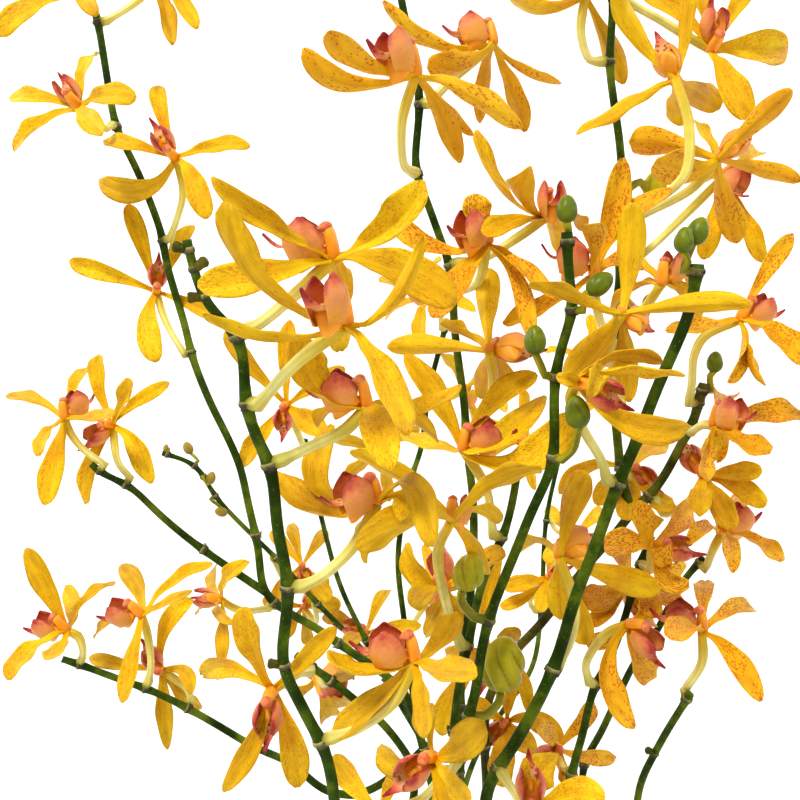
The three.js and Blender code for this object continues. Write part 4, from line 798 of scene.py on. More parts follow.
# Flowers joined to their spray, in the same order without a name.
JOINED_FLOWERS = [
    ("left", (84, -45), [(72, -36)], (80, -6), 380, (-0.2, 0.6, 0.8), None,
     [(118, -22), (60, -70), (95, 14), (35, -30), (-2, 36)]),
    ("back_inner", (305, 445), [(300, 438)], (287, 405), 398, (-0.1, 0, 1), None,
     [(290, 320), (225, 333), (345, 368), (240, 466), (325, 432)]),
    ("right_tall", (613, 0), [(660, 20)], (710, 50), 332, (0.1, 0.2, 0.95), (708, 14),
     [(640, -12, {"broad": 0.9}), (690, -30), (754, -24), (792, 50, {"middle": (750, 48), "broad": 1.3}),
      (750, 118, {"middle": (728, 80)})]),
    ("right_tall", (621, 266), [(648, 250), (690, 210)], (722, 178), 344, (0.3, 0.5, 0.8), None,
     [(691, 116, {"middle": (708, 138), "broad": 0.8}), (763, 262, {"middle": (744, 220), "broad": 0.9}),
      (702, 259, {"middle": (714, 222)}), (762, 150, -15, {"broad": 0.7}),
      (690, 190, -20, {"broad": 0.7})]),
    ("right_tall", (620, 300), [(640, 310)], (662, 284), 312, (0, 0.95, 0.2), (672, 236),
     [(612, 262, -20), (640, 335, -20), (608, 312, -26), (692, 284, -12), (700, 322, -8)]),
    ("right_back", (650, 497), [(663, 514), (690, 500)], (704, 477), 345, (-0.4, 0.3, 0.85), (688, 452),
     [(716, 441, {"broad": 0.9}), (762, 472, {"broad": 0.9}), (765, 507, {"middle": (738, 486)}),
      (700, 512, {"broad": 0.8}), (735, 528)]),
    ("right_high", (700, 562), [(712, 552)], (721, 534), 338, (0.1, 0.9, 0.2), (738, 510),
     [(780, 562, {"middle": (756, 540)}), (733, 572, {"broad": 0.8}), (688, 543, {"broad": 0.8}),
      (752, 498), (700, 498)]),
    ("right_low", (640, 566), [(650, 568)], (652, 548), 316, (0.3, 0.4, 0.85), (672, 552),
     [(649, 507, -2, {"middle": (646, 524), "broad": 1.5}), (668, 568, 14, {"middle": (658, 550)}),
      (681, 577, 24, {"middle": (668, 574), "broad": 1.6}), (690, 505, {"middle": (676, 524)}),
      (602, 545, -16, {"broad": 1.2})]),
    ("right_low", (632, 590), [(636, 580)], (630, 584), 350, (-0.1, 0.4, 0.9), None,
     [(612, 540, {"broad": 1.3}), (586, 600, {"middle": (606, 596), "broad": 1.5}),
      (592, 624, {"broad": 0.9}), (656, 616, {"broad": 0.9}), (655, 560, -10)]),
    ("right_low", (594, 685), [(586, 664), (606, 634)], (628, 624), 314, (0.45, 0.2, 0.85), (648, 664),
     [(656, 618, {"broad": 0.7}), (586, 645, -16, {"broad": 0.8}), (640, 600, -14),
      (637, 726, {"middle": (606, 674), "broad": 1.05, "turn": 0, "blunt": 2.4}),
      (655, 676, -12, {"middle": (640, 660), "broad": 1.1})]),
    ("right", (556, 668), [(572, 636), (575, 606)], (560, 558), 306, (0.1, 0.45, -0.88), (590, 540),
     [(585, 472, {"middle": (571, 510), "broad": 1.1}),
      (516, 556, {"middle": (536, 540), "broad": 1.1, "turn": 30}),
      (661, 588, -6, {"middle": (615, 577), "broad": 1.2}), (588, 644, -4, {"middle": (572, 604)}),
      (562, 620, -10)]),
    ("middle", (461, 760), [(444, 785)], (434, 758), 266, (-0.3, 0.4, 0.85), (398, 792),
     [(483, 722, {"middle": (458, 748), "broad": 1.15}), (430, 700, -20, {"broad": 0.5}),
      (472, 806, {"middle": (450, 780), "broad": 0.7}),
      (375, 748, {"middle": (406, 768), "broad": 0.9, "turn": 30}), (470, 860)]),
    ("middle", (462, 770), [(420, 800)], (380, 812), 300, (-0.2, 0.5, 0.8), None,
     [(334, 757, {"middle": (354, 786), "broad": 1.1}), (405, 770, -20), (420, 850), (346, 850, -12),
      (384, 870)]),
    ("right", (500, 770), [(520, 800)], (532, 812), 268, (-0.1, 0.5, 0.85), (530, 776),
     [(562, 753, -8, {"middle": (533, 780), "broad": 1.6, "blunt": 0.9}),
      (603, 800, {"middle": (570, 794), "broad": 1.1, "blunt": 1.3}), (480, 830), (555, 862), (505, 860)]),
    ("right_back", (486, 745), [(492, 738)], (507, 722), 392, (-0.2, 0.3, 0.9), (488, 742),
     [(512, 676, {"broad": 0.8}), (563, 741, {"middle": (534, 720), "broad": 1.1}), (470, 700),
      (502, 786, {"broad": 1.2}), (534, 752)]),
    ("right_back", (500, 675), [(494, 664)], (490, 652), 352, (-0.1, 0.4, 0.9), (482, 690),
     [(520, 629, {"broad": 0.7}), (529, 714, {"middle": (518, 672), "broad": 0.7}),
      (500, 556, {"middle": (486, 604), "broad": 0.8}), (445, 662, -16, {"broad": 1.1}),
      (441, 736, {"middle": (454, 694), "broad": 0.9})]),
    ("right_low", (571, 778), [(562, 768)], (556, 748), 356, (0.1, 0.3, 0.9), (530, 762),
     [(617, 757, {"middle": (586, 757), "broad": 0.8}), (568, 796, {"broad": 0.9}), (538, 722), (524, 786),
      (596, 700, -10, {"broad": 0.8})]),
    ("middle_tall", (474, 560), [(462, 582)], (448, 588), 330, (-0.5, 0.5, 0.7), (440, 562),
     [(500, 560, {"middle": (484, 562)}), (472, 640, -14, {"broad": 0.9}),
      (424, 636, -10, {"middle": (438, 610), "broad": 0.9}),
      (402, 545, 6, {"middle": (424, 580), "broad": 1.1, "turn": 20}), (418, 605)]),
    ("right_tall", (620, 470), [(628, 480)], (632, 470), 372, (-0.1, 0.3, 0.9), (646, 486),
     [(668, 446, {"middle": (648, 450), "broad": 1.1}), (672, 505, {"middle": (654, 498)}),
      (558, 494, {"middle": (590, 466), "broad": 0.8}), (596, 502), (625, 520)]),
    ("front_low", (331, 680), [(324, 684)], (318, 674), 346, (0.2, -0.75, 0.5), None,
     [(300, 650, -10), (352, 665), (280, 680, -8), (333, 718), (347, 702)]),
    ("back_left", (276, 558), [(286, 580)], (302, 566), 520, (0.1, 0.3, 0.9), None,
     [(290, 522), (271, 531), (327, 529), (272, 600), (330, 600)]),
    ("back_left", (318, 604), [(316, 622)], (303, 606), 535, (0.1, 0.1, 0.95), None,
     [(280, 640), (262, 600), (310, 648), (327, 577), (340, 603)]),
    ("back_inner", (366, 640), [(371, 655)], (366, 634), 505, (-0.1, 0.6, 0.7), None,
     [(420, 626), (389, 587), (380, 670), (322, 614), (346, 646)]),
    ("back", (405, 627), [(418, 616)], (430, 598), 500, (0.3, 0.7, 0.4), None,
     [(400, 570), (425, 545), (440, 640), (470, 580), (480, 615)]),
    ("back", (428, 395), [(445, 400)], (462, 392), 530, (0.5, 0.5, -0.7), None,
     [(440, 350), (420, 400), (480, 440), (500, 360), (510, 410)]),
    ("back", (412, 475), [(400, 470)], (385, 455), 545, (-0.4, 0.6, -0.7), None,
     [(420, 430), (375, 405), (390, 500), (335, 440), (345, 480)]),
    ("back", (446, 325), [(440, 310)], (430, 300), 480, (-0.5, 0.8, 0.1), None,
     [(475, 310), (440, 260), (420, 345), (380, 280), (385, 320)]),
    ("back_right", (546, 521), [(556, 530)], (574, 538), 560, (-0.2, 0.4, 0.9), None,
     [(546, 508, {"broad": 1.2}), (604, 508, {"broad": 1.1}), (612, 548), (582, 572), (545, 562)]),
    ("back_right", (560, 455), [(548, 450)], (530, 440), 600, (-0.5, 0.6, -0.6), None,
     [(570, 430), (525, 390), (535, 490), (480, 425), (488, 460)]),
    ("back_right", (541, 611), [(530, 602)], (548, 578), 552, (-0.1, 0.4, 0.9), None,
     [(504, 588, {"middle": (528, 582), "broad": 1.3}), (540, 612, {"broad": 1.3}),
      (500, 606, {"middle": (524, 598)}), (575, 606), (552, 548)]),
    ("back_right", (572, 400), [(580, 385)], (588, 365), 560, (0.4, 0.85, 0.2), None,
     [(545, 350), (590, 315), (590, 410), (635, 345), (632, 380)]),
]


STALK_STEP = 2.5
SMOOTHINGS = 8


def nearest_on(line, target):
    best = None
    for a, b in zip(line, line[1:]):
        share = max(0, min(1, (target - a).dot(b - a) / (b - a).length_squared))
        place = a.lerp(b, share)
        if best is None or (place - target).length < (best - target).length:
            best = place
    return best


for name, branch in SPRAYS.items():
    route = branch["route"]
    steps = [0.0]
    for (ax, ay), (bx, by) in zip(route, route[1:]):
        steps.append(steps[-1] + math.hypot(bx - ax, by - ay))
    first, last = branch["near"]
    points = [Vector(point) for point in branch.get("root", [])]
    points += [seen(*spot, first + (last - first) * step / steps[-1]) for spot, step in zip(route, steps)]
    if "on" in branch:
        points[0] = nearest_on(SPRAYS[branch["on"]]["line"], points[0])
    line = smooth_line(points, STALK_STEP)
    for _ in range(SMOOTHINGS):
        line[1:-1] = [(a + b * 2 + c) / 4 for a, b, c in zip(line, line[1:], line[2:])]
    branch["line"] = line
    branch["nodes"] = []


def in_picture(point):
    distance = point.y - SIGHT.y
    return (PICTURE / 2 + (point.x - SIGHT.x) * FOCAL / distance,
            PICTURE / 2 - (point.z - SIGHT.z) * FOCAL / distance)


def node_on(branch, spot):
    """The place on a branch seen nearest to a spot, the way the branch runs there, and its index."""
    line = SPRAYS[branch]["line"]
    misses = [math.dist(in_picture(point), spot) for point in line]
    at = min(range(1, len(line) - 1), key=misses.__getitem__)
    return line[at], (line[at + 1] - line[at - 1]).normalized(), at


def stem_line(branch, spot, via, centre):
    """A flower's own stem, from inside its spray to the flower's back."""
    place, along, at = node_on(branch, spot)
    start, end = place.y - SIGHT.y, centre.y - SIGHT.y
    middle = []
    for i, stop in enumerate(via):
        share = (i + 1) / (len(via) + 1)
        middle.append(seen(stop[0], stop[1], stop[2] if len(stop) > 2 else start + (end - start) * share))
    side = (middle[0] if middle else centre) - place
    side = (side - along * side.dot(along)).normalized()
    SPRAYS[branch]["nodes"].append((at, side))
    radius = SPRAYS[branch]["radius"]
    return [place + side * radius * 0.5, *smooth_line([place + side * (radius + 2.2), *middle, centre], 2)]


stalk_green, tree, shader = finish("stalk_green", 0.5, gloss=0.05)
place = in_object(tree)
ripe = growth(tree)[2]
shade = mottle(tree, place, 70, 0.3, 0.7)
green = shades(tree, shade, (0, dye(22, 42, 1)), (0.5, dye(44, 70, 4)), (1, dye(94, 114, 18)))
brown = shades(tree, shade, (0, dye(44, 40, 8)), (0.5, dye(72, 68, 18)), (1, dye(104, 98, 32)))
colour = mingle(tree, times(tree, ripe, mottle(tree, place, 25, 0.25, 0.55)), green, brown)
specks = node(tree, "ShaderNodeTexVoronoi", Vector=place, Scale=560)
speck = fading(tree, specks.outputs["Distance"], 0.12, 0.2)
colour = mingle(tree, times(tree, speck, 0.22), colour, dye(130, 150, 80))
paint(tree, shader, colour)
lines = mottle(tree, stretched(tree, flat_place(tree), (14, 1, 1)), 3)
relief(tree, shader, lines, 0.3, 0.0003)

bract_brown, tree, shader = finish("bract_brown", 0.7)
place = in_object(tree)
along = growth(tree)[0]
shade = calc(tree, "MULTIPLY_ADD", along, 0.6, times(tree, mottle(tree, place, 300), 0.4))
colour = shades(tree, shade, (0, dye(26, 22, 8)), (0.4, dye(64, 58, 20)), (0.7, dye(124, 116, 56)),
                (1, dye(168, 158, 104)))
paint(tree, shader, colour)
relief(tree, shader, mottle(tree, place, 800), 0.3, 0.0003)

put_down_all()
bpy.ops.mesh.primitive_grid_add(x_subdivisions=8, y_subdivisions=5, size=2)
scale = bpy.context.object
modify(scale, "SOLIDIFY", thickness=0.1, offset=0)
bract_points, bract_faces = pattern_of(scale)


BRACT_LENGTH = 3.0


def bract(place, along, side, radius):
    """A dry pointed scale, wrapped round half of the stalk under a stem or a side branch."""
    other = along.cross(side)
    places, marks = [], []
    for x, y, z in bract_points:
        s = (y + 1) / 2
        arc = x * 1.9 * (1 - s ** 1.6) + 0.02 * x
        reach = radius + 0.2 + s * s * 0.9 + 2.4 * z
        out = side * math.cos(arc) + other * math.sin(arc)
        places.append(place + out * reach + along * (s * BRACT_LENGTH - 1.6))
        marks.append((s, abs(x), 0))
    return places, bract_faces, 1, (0, 0), marks


def ring(place, along, radius):
    """The dark raised ring that a node leaves round the stalk."""
    heights = ((-1.0, 0.0), (-0.35, 0.32), (0.3, 0.3), (0.8, 0.05))
    line = [place + along * at for at, _ in heights]
    return tube(line, [radius + proud for _, proud in heights], 14, 1, 0)


def stub(place, along, side, radius):
    """The brown end of a side stem whose flower has dropped."""
    reaches = (radius * 0.4, radius + 0.8, radius + 1.9, radius + 2.5)
    line = [place + side * reach + along * 0.4 * reach for reach in reaches]
    return tube(line, (1.3, 1.25, 1.5, 1.1), 10, 0, 1.5)


# Stems of the flowers. Pale, lightly ribbed stalks that turn from cream-green to the flower's yellow,
# thickest at the foot, where each sits on its spray in a dark ring.
stem_cream, tree, shader = finish("stem_cream", 0.45, glow=0.1, gloss=0.15)
place = in_object(tree)
along, _, tone = growth(tree)
colour = shades(tree, along, (0, dye(122, 112, 34)), (0.05, dye(214, 202, 98)), (0.3, dye(248, 238, 150)),
                (0.6, dye(242, 222, 106)), (0.82, dye(222, 188, 52)), (1, dye(234, 184, 14)))
colour = mingle(tree, times(tree, mottle(tree, place, 120), tone), colour, dye(160, 162, 56))
ribs = node(tree, "ShaderNodeTexWave", {"bands_direction": "X"}, Vector=flat_place(tree),
            Scale=1.9).outputs["Fac"]
colour = mingle(tree, times(tree, ribs, 0.25), colour, dye(160, 136, 30))
paint(tree, shader, colour)
relief(tree, shader, ribs, 0.4, 0.0005)


def flower_stem(line, number, tone):
    radii = []
    for i in range(len(line)):
        share = i / (len(line) - 1)
        foot = 0.6 * math.exp(-((share - 0.04) / 0.06) ** 2)
        ovary = 0.25 * math.exp(-((share - 0.75) / 0.2) ** 2)
        radii.append(1.5 + foot + ovary)
    return tube(line, radii, 14, number, tone, 0.03)


# Flowers. Five strap-like sepals and petals, narrow at the claw and broad at the blade, gold with
# orange-brown flecks, round a small upright lip and a stout column.
# One flat strip is cut and given its thickness, and each petal is that strip bent to its own curve.
PETAL_LENGTH = 36
put_down_all()
bpy.ops.mesh.primitive_grid_add(x_subdivisions=8, y_subdivisions=20, size=2)
strip = bpy.context.object
modify(strip, "SOLIDIFY", thickness=0.1, offset=0)
petal_points, petal_faces = pattern_of(strip)
petal_rows = sorted(set(np.round(petal_points[:, 1], 5)))
BACK_SEPAL, PETAL, SIDE_SEPAL = 0, 1, 2
BLADE_HALF = {BACK_SEPAL: 4.2, PETAL: 4.0, SIDE_SEPAL: 4.9}


def smooth(value):
    value = max(0.0, min(1.0, value))
    return value * value * (3 - 2 * value)


def half_width(s, broad, blunt):
    """Half of a petal's width at a share of its length: slender claw, long blade, more or less blunt tip."""
    tip = max(0, 1 - (max(0, s - 0.62) / 0.383) ** blunt) ** (0.5 if blunt >= 1 else 1)
    return broad * (0.23 + 0.77 * smooth((s - 0.05) / 0.7)) * tip + 0.1


def petal(centre, forward, tip, kind, tones, middle=None, turn=0, broad=1.0, blunt=None):
    """The strip bent from the flower's middle to a tip. middle is where half its length is seen, turn is
    how many degrees its blade is turned, broad is its width against others, and blunt is how round its
    tip is, from 1."""
    chord = tip - centre
    toward = (SIGHT - centre).normalized()
    face = forward * 0.62 + toward * (0.38 if forward.dot(toward) >= 0 else -0.38)
    lift = 5.6 * tones.uniform(0.8, 1.25)
    ahead = 4.8 * tones.uniform(0.6, 1.4)
    curl = tones.uniform(-1.0, 2.5)
    corners = [centre, centre + chord * 0.33 + forward * lift, centre + chord * 0.72 + forward * ahead, tip]
    if middle:
        half_way = bezier(*corners, 0.5)[0]
        nearer = middle[2] if len(middle) > 2 else 0
        shift = (seen(middle[0], middle[1], half_way.y - SIGHT.y - nearer) - half_way) * 4 / 3
        corners[1] += shift
        corners[2] += shift
    broad *= BLADE_HALF[kind] * tones.uniform(0.93, 1.07)
    twist = tones.uniform(-0.5, 0.5)
    cup = 2.7 * tones.uniform(0.5, 1.5)
    waves, phase = tones.uniform(0.2, 0.75), tones.uniform(0, 6.28)
    rounding = tones.uniform(1.6, 2.8)
    blunt = blunt or rounding
    frames = {}
    for row in petal_rows:
        s = (row + 1) / 2
        place, way = bezier(*corners, s)
        across = way.cross(face).normalized()
        normal = across.cross(way).normalized()
        angle = math.radians(turn) * smooth(s / 0.4) + twist * s
        across, normal = (across * math.cos(angle) + normal * math.sin(angle),
                          normal * math.cos(angle) - across * math.sin(angle))
        place -= normal * curl * max(0, s - 0.7) ** 2 * 9
        frames[row] = (s, place, across, normal, half_width(s, broad, blunt))
    tone = tones.random()
    length = chord.length
    places, uv, marks = [], [], []
    for x, y, z in petal_points:
        s, place, across, normal, half = frames[round(y, 5)]
        hollow = cup * (x * x - 0.35) * math.sin(math.pi * min(1, s * 1.02)) ** 0.8 * half / 5
        hollow -= 0.35 * (abs(x) < 0.1) * (s < 0.95)
        hollow += waves * math.sin(s * 17 + phase) * abs(x) ** 3
        thick = (0.31 if z > 0 else -0.31) * (1 - 0.5 * abs(x)) * (1 + 3 * max(0, 0.3 - s))
        places.append(place + across * (x * half) + normal * (hollow + thick))
        uv.append((0.5 + x * half / FLAT_SIZE, s * length / FLAT_SIZE))
        marks.append((s, abs(x) if z > 0 else -abs(x) - 0.01, tone))
    return places, petal_faces, 0, uv, marks


def petal_finish(name, ground, fleck_colour, strength, share, size):
    """Gold flesh with flecks drawn out along the petal, fewer at the claw, the edge and the back."""
    material, tree, shader = finish(name, 0.48, glow=0.1, gloss=0.18)
    place = in_object(tree)
    along, side, tone = growth(tree)
    edge = calc(tree, "ABSOLUTE", side)
    flat = flat_place(tree)
    cloud = mottle(tree, place, 60, 0.25, 0.75)
    streak = mottle(tree, stretched(tree, flat, (9, 1, 1)), 3.5, 0.3, 0.7)
    factor = calc(tree, "ADD", times(tree, cloud, 0.34),
                  calc(tree, "ADD", times(tree, streak, 0.3), times(tree, tone, 0.38)))
    colour = shades(tree, factor, *[(stop, dye(*shade)) for stop, shade in ground])
    warm = times(tree, mottle(tree, place, 34, 0.45, 0.7),
                calc(tree, "MULTIPLY_ADD", tone, 0.5, 0.15))
    colour = mingle(tree, warm, colour, dye(222, 132, 2))
    claw = fading(tree, along, 0.05, 0.4)
    colour = mingle(tree, times(tree, claw, 0.45), colour, dye(246, 196, 10))
    wobble = node(tree, "ShaderNodeTexNoise", Vector=flat, Scale=30, Detail=2).outputs["Color"]
    spot_place = node(tree, "ShaderNodeVectorMath", {"operation": "MULTIPLY_ADD"})
    for socket, value in zip(spot_place.inputs, (wobble, (0.02, 0.035, 0), flat)):
        wire(tree, socket, value)
    drawn = stretched(tree, spot_place.outputs[0], (1, 0.42, 1))
    flecks = node(tree, "ShaderNodeTexVoronoi", {"voronoi_dimensions": "2D"}, Vector=drawn, Scale=size)
    pick = node(tree, "ShaderNodeSeparateColor", Color=flecks.outputs["Color"]).outputs[0]
    inner = times(tree, between(tree, along, 0.25, 0.55),
                 fading(tree, edge, 0.8, 1))
    front = calc(tree, "MULTIPLY_ADD", between(tree, side, -0.02, 0), 0.7, 0.3)
    inner = times(tree, inner, front)
    patch = times(tree, calc(tree, "MULTIPLY_ADD", mottle(tree, flat, 5, 0.35, 0.6), share, 0.1),
                 times(tree, inner, calc(tree, "MULTIPLY_ADD", tone, 0.9, 0.35)))
    chosen = calc(tree, "LESS_THAN", pick, patch)
    fleck = fading(tree, flecks.outputs["Distance"], 0.22, 0.5)
    shown = times(tree, times(tree, fleck, chosen), strength)
    colour = mingle(tree, shown, colour, fleck_colour)
    paint(tree, shader, colour)
    cells = mottle(tree, stretched(tree, flat, (3, 1, 1)), 26)
    bumps = calc(tree, "MULTIPLY_ADD", streak, 0.8, times(tree, cells, 0.5))
    relief(tree, shader, bumps, 0.6, 0.0005)
    return material


GOLD = ((0.1, (190, 142, 1)), (0.4, (222, 172, 2)), (0.7, (244, 198, 6)), (1.0, (253, 220, 40)))
AMBER = ((0.1, (208, 148, 4)), (0.45, (234, 172, 10)), (0.7, (246, 192, 24)), (1.0, (252, 214, 60)))
petal_gold = petal_finish("petal_gold", GOLD, dye(196, 106, 2), 0.55, 0.9, 80)
petal_flecked = petal_finish("petal_flecked", AMBER, dye(192, 84, 8), 0.8, 2.5, 62)

# Lip. A small three-lobed pouch: two upright salmon side lobes, a narrow spotted middle lobe, an
# orange spur behind. The column stands between the lobes and carries the anther cap.
# Each is shaped once, across, towards the lip and out of the flower, and copied into every flower.
put_down_all()
bpy.ops.mesh.primitive_grid_add(x_subdivisions=10, y_subdivisions=10, size=2)
shell = bpy.context.object
modify(shell, "SOLIDIFY", thickness=0.1, offset=0)
shell_points, shell_faces = pattern_of(shell)


def side_lobe(side):
    places, marks = [], []
    for x, y, z in shell_points:
        a = (y + 1) / 2
        tip = math.sqrt(max(0, 1 - (max(0, a - 0.45) / 0.57) ** 2.4))
        half = 4.9 * tip * (0.72 + 0.28 * min(1, a * 2.2)) + 0.1
        bulge = 2.7 * math.sin(math.pi * (0.1 + 0.8 * a)) * (1 - 0.75 * x * x)
        out = 1.8 + bulge + 0.25 * (1 if z > 0 else -1) * (1 - 0.4 * abs(x))
        places.append((side * out, 6.6 + x * half + 0.4 * a, 0.2 + 11.2 * a - 1.2 * x * x * a))
        marks.append((a, abs(x), 0.0))
    faces = shell_faces if side < 0 else [face[::-1] for face in shell_faces]
    return np.array(places), faces, np.array(marks)


def middle_lobe():
    places, marks = [], []
    for x, y, z in shell_points:
        a = (y + 1) / 2
        half = (1.3 + 1.0 * math.sin(math.pi * min(1, a * 1.4)) ** 1.2) * (1 - a ** 3) + 0.22
        lift = 2.2 + 5.4 * a ** 1.2 + 0.8 * math.sin(a * 7)
        ahead = 7.4 + 9.4 * a
        face = 1 if z > 0 else -1
        places.append((x * half, ahead + 0.25 * face, lift + 0.5 * x * x * (1 - a) - 0.22 * face))
        marks.append((a, abs(x), 0.0))
    return np.array(places), shell_faces, np.array(marks)


def rounded(segments, rings, shape):
    """A ball shaped point by point: where each of its points goes, and the marks it carries."""
    put_down_all()
    bpy.ops.mesh.primitive_uv_sphere_add(segments=segments, ring_count=rings, radius=1)
    points, faces = pattern_of(bpy.context.object)
    made = [shape(*point) for point in points]
    return np.array([place for place, _ in made]), faces, np.array([marks for _, marks in made])


def spur_shape(x, y, z):
    down = max(0.0, -z)
    lean = 3.2 * down ** 1.4
    taper = 1 - 0.5 * down
    return ((x * 3.6 * taper, 5.4 + y * 4.5 * taper + lean, 2.2 + z * (2.6 if z > 0 else 4.8)),
            (0.5 - 0.5 * z, 0, 0))


def column_shape(x, y, z):
    rise = (z + 1) / 2
    thick = 2.35 - 0.45 * rise
    ring = math.sqrt(max(0, 1 - z ** 6)) / max(0.001, math.sqrt(max(1e-6, 1 - z * z)))
    forward = y * ring * thick * 0.8 - 0.4 + 0.7 * rise ** 1.5
    return (x * ring * thick, forward, -0.6 + 9.2 * rise), (rise, 0, 0)


def cap_shape(x, y, z):
    beak = max(0, y) ** 3
    return ((x * 1.9, 0.8 + y * 1.7 + beak * 1.1, 8.3 + z * 1.35 - beak * 0.9), (0.5 + 0.5 * z, 0, 0))


def callus_shape(x, y, z):
    return ((x * 1.3, 6.4 + y * 1.9, 4.2 + z * 1.5), (0.5 + 0.5 * z, 0, 0))


LIP_PARTS = [
    (*side_lobe(-1), 1), (*side_lobe(1), 1), (*middle_lobe(), 2), (*rounded(16, 12, spur_shape), 3),
    (*rounded(14, 12, column_shape), 3), (*rounded(12, 8, cap_shape), 4), (*rounded(8, 6, callus_shape), 3),
]

lobe_salmon, tree, shader = finish("lobe_salmon", 0.45, gloss=0.2, glow=0.12)
place = in_object(tree)
along, edge, _ = growth(tree)
up = calc(tree, "MULTIPLY_ADD", mottle(tree, place, 160), 0.25, times(tree, along, 0.85))
colour = shades(tree, up, (0, dye(232, 148, 12)), (0.3, dye(230, 156, 62)), (0.62, dye(222, 140, 80)),
                (0.86, dye(200, 96, 62)), (1, dye(164, 50, 44)))
rim = times(tree, between(tree, edge, 0.75, 1), between(tree, along, 0.45, 0.8))
colour = mingle(tree, rim, colour, dye(166, 54, 50))
freckles = node(tree, "ShaderNodeTexVoronoi", Vector=place, Scale=1100).outputs["Distance"]
freckle = fading(tree, freckles, 0.15, 0.3)
colour = mingle(tree, times(tree, freckle, 0.25), colour, dye(170, 70, 60))
paint(tree, shader, colour)
relief(tree, shader, mottle(tree, place, 900), 0.25, 0.0003)

lobe_spotted, tree, shader = finish("lobe_spotted", 0.45, gloss=0.2, glow=0.1)
place = in_object(tree)
along = growth(tree)[0]
colour = shades(tree, along, (0, dye(240, 160, 30)), (0.35, dye(240, 190, 120)), (0.6, dye(226, 120, 76)),
                (0.85, dye(170, 44, 40)), (1, dye(120, 20, 34)))
spots = node(tree, "ShaderNodeTexVoronoi", Vector=place, Scale=700).outputs["Distance"]
spot = fading(tree, spots, 0.28, 0.4)
colour = mingle(tree, times(tree, spot, 0.8), colour, dye(156, 26, 30))
paint(tree, shader, colour)
relief(tree, shader, mottle(tree, place, 900), 0.25, 0.0003)

column_orange, tree, shader = finish("column_orange", 0.35, gloss=0.3, glow=0.15)
place = in_object(tree)
along = growth(tree)[0]
shade = calc(tree, "MULTIPLY_ADD", mottle(tree, place, 200), 0.3, times(tree, along, 0.6))
colour = shades(tree, shade, (0, dye(226, 130, 16)), (0.5, dye(246, 156, 24)), (1, dye(255, 180, 52)))
paint(tree, shader, colour)
relief(tree, shader, mottle(tree, place, 1100), 0.2, 0.0003)

cap_coral, tree, shader = finish("cap_coral", 0.4, gloss=0.3, glow=0.1)
place = in_object(tree)
colour = shades(tree, mottle(tree, place, 500), (0, dye(206, 92, 50)), (1, dye(236, 142, 80)))
paint(tree, shader, colour)
relief(tree, shader, mottle(tree, place, 1200), 0.2, 0.0003)


TIP_AHEAD = 3.6


def tip_place(centre, near, forward, tip):
    """A tip's depth follows from the petal's length and the way that the flower faces."""
    tip = [part for part in tip if not isinstance(part, dict)]
    if len(tip) > 2:
        return seen(tip[0], tip[1], near - tip[2])
    ray = (seen(*tip, near) - SIGHT).normalized()
    nearest = (centre - SIGHT).dot(ray)
    depth = math.sqrt(max(0, PETAL_LENGTH ** 2 - (SIGHT + ray * nearest - centre).length_squared))
    ends = [SIGHT + ray * (nearest + sign * depth) for sign in (-1, 1)]
    return min(ends, key=lambda end: abs((end - centre).dot(forward) - TIP_AHEAD))


def flower(branch, spot, via, at, near, face, lip, tips, tones):
    """All shapes of one flower: finishes 0 petal, 1 and 2 lip, 3 column, 4 cap, 5 stem."""
    centre = seen(*at, near)
    forward = Vector((face[0], -face[2], face[1])).normalized()
    ends = [tip_place(centre, near, forward, tip) for tip in tips]
    toward_lip = centre - ends[0]
    if lip:
        toward_lip = seen(lip[0], lip[1], near - (lip[2] if len(lip) > 2 else 0)) - centre
    toward_lip -= forward * toward_lip.dot(forward)
    if toward_lip.length < 2:
        toward_lip = centre - ends[0]
        toward_lip -= forward * toward_lip.dot(forward)
    toward_lip.normalize()
    across = toward_lip.cross(forward)
    size = tones.uniform(0.95, 1.06) * (lip[3] if lip and len(lip) > 3 else 1)
    frame_of_flower = Matrix.Translation(centre) @ Matrix(
        ((across.x, toward_lip.x, forward.x, 0), (across.y, toward_lip.y, forward.y, 0),
         (across.z, toward_lip.z, forward.z, 0), (0, 0, 0, 1))) @ Matrix.Scale(size, 4)
    kinds = (BACK_SEPAL, PETAL, PETAL, SIDE_SEPAL, SIDE_SEPAL)
    shapes = [petal(centre, forward, end, kind, tones, **(tip[-1] if isinstance(tip[-1], dict) else {}))
              for end, kind, tip in zip(ends, kinds, tips)]
    for points, faces, marks, number in LIP_PARTS:
        shapes.append((moved(points, frame_of_flower), faces, number, (0, 0), marks))
    shapes.append(flower_stem(stem_line(branch, spot, via, centre), 5, tones.uniform(0, 0.5)))
    return shapes


LIP_FINISHES = (lobe_salmon, lobe_spotted, column_orange, cap_coral, stem_cream)
FLECKED = {f"flower_{number}" for number in (22, 24, 25, 29, 31, 32, 34, 39)}

for name, branch, spot, via, at, near, face, lip, tips in FLOWERS:
    tones = random.Random(name)
    piece = gathered(name + "_bloom", flower(branch, spot, via, at, near, face, lip, tips, tones))
    face_outwards(piece)
    set_in(piece, [name], "petal", petal_flecked if name in FLECKED else petal_gold, *LIP_FINISHES)

by_spray = {}
for number, (branch, spot, via, at, near, face, lip, tips) in enumerate(JOINED_FLOWERS):
    spray = SPRAYS[branch].get("on", branch)
    tones = random.Random(number)
    by_spray.setdefault(spray, []).extend(flower(branch, spot, via, at, near, face, lip, tips, tones))
for spray, shapes in by_spray.items():
    piece = gathered(f"spray_{spray}_blooms", shapes)
    face_outwards(piece)
    flesh = petal_flecked if spray == "right_low" else petal_gold
    set_in(piece, [f"spray_{spray}"], "petal", flesh, *LIP_FINISHES)
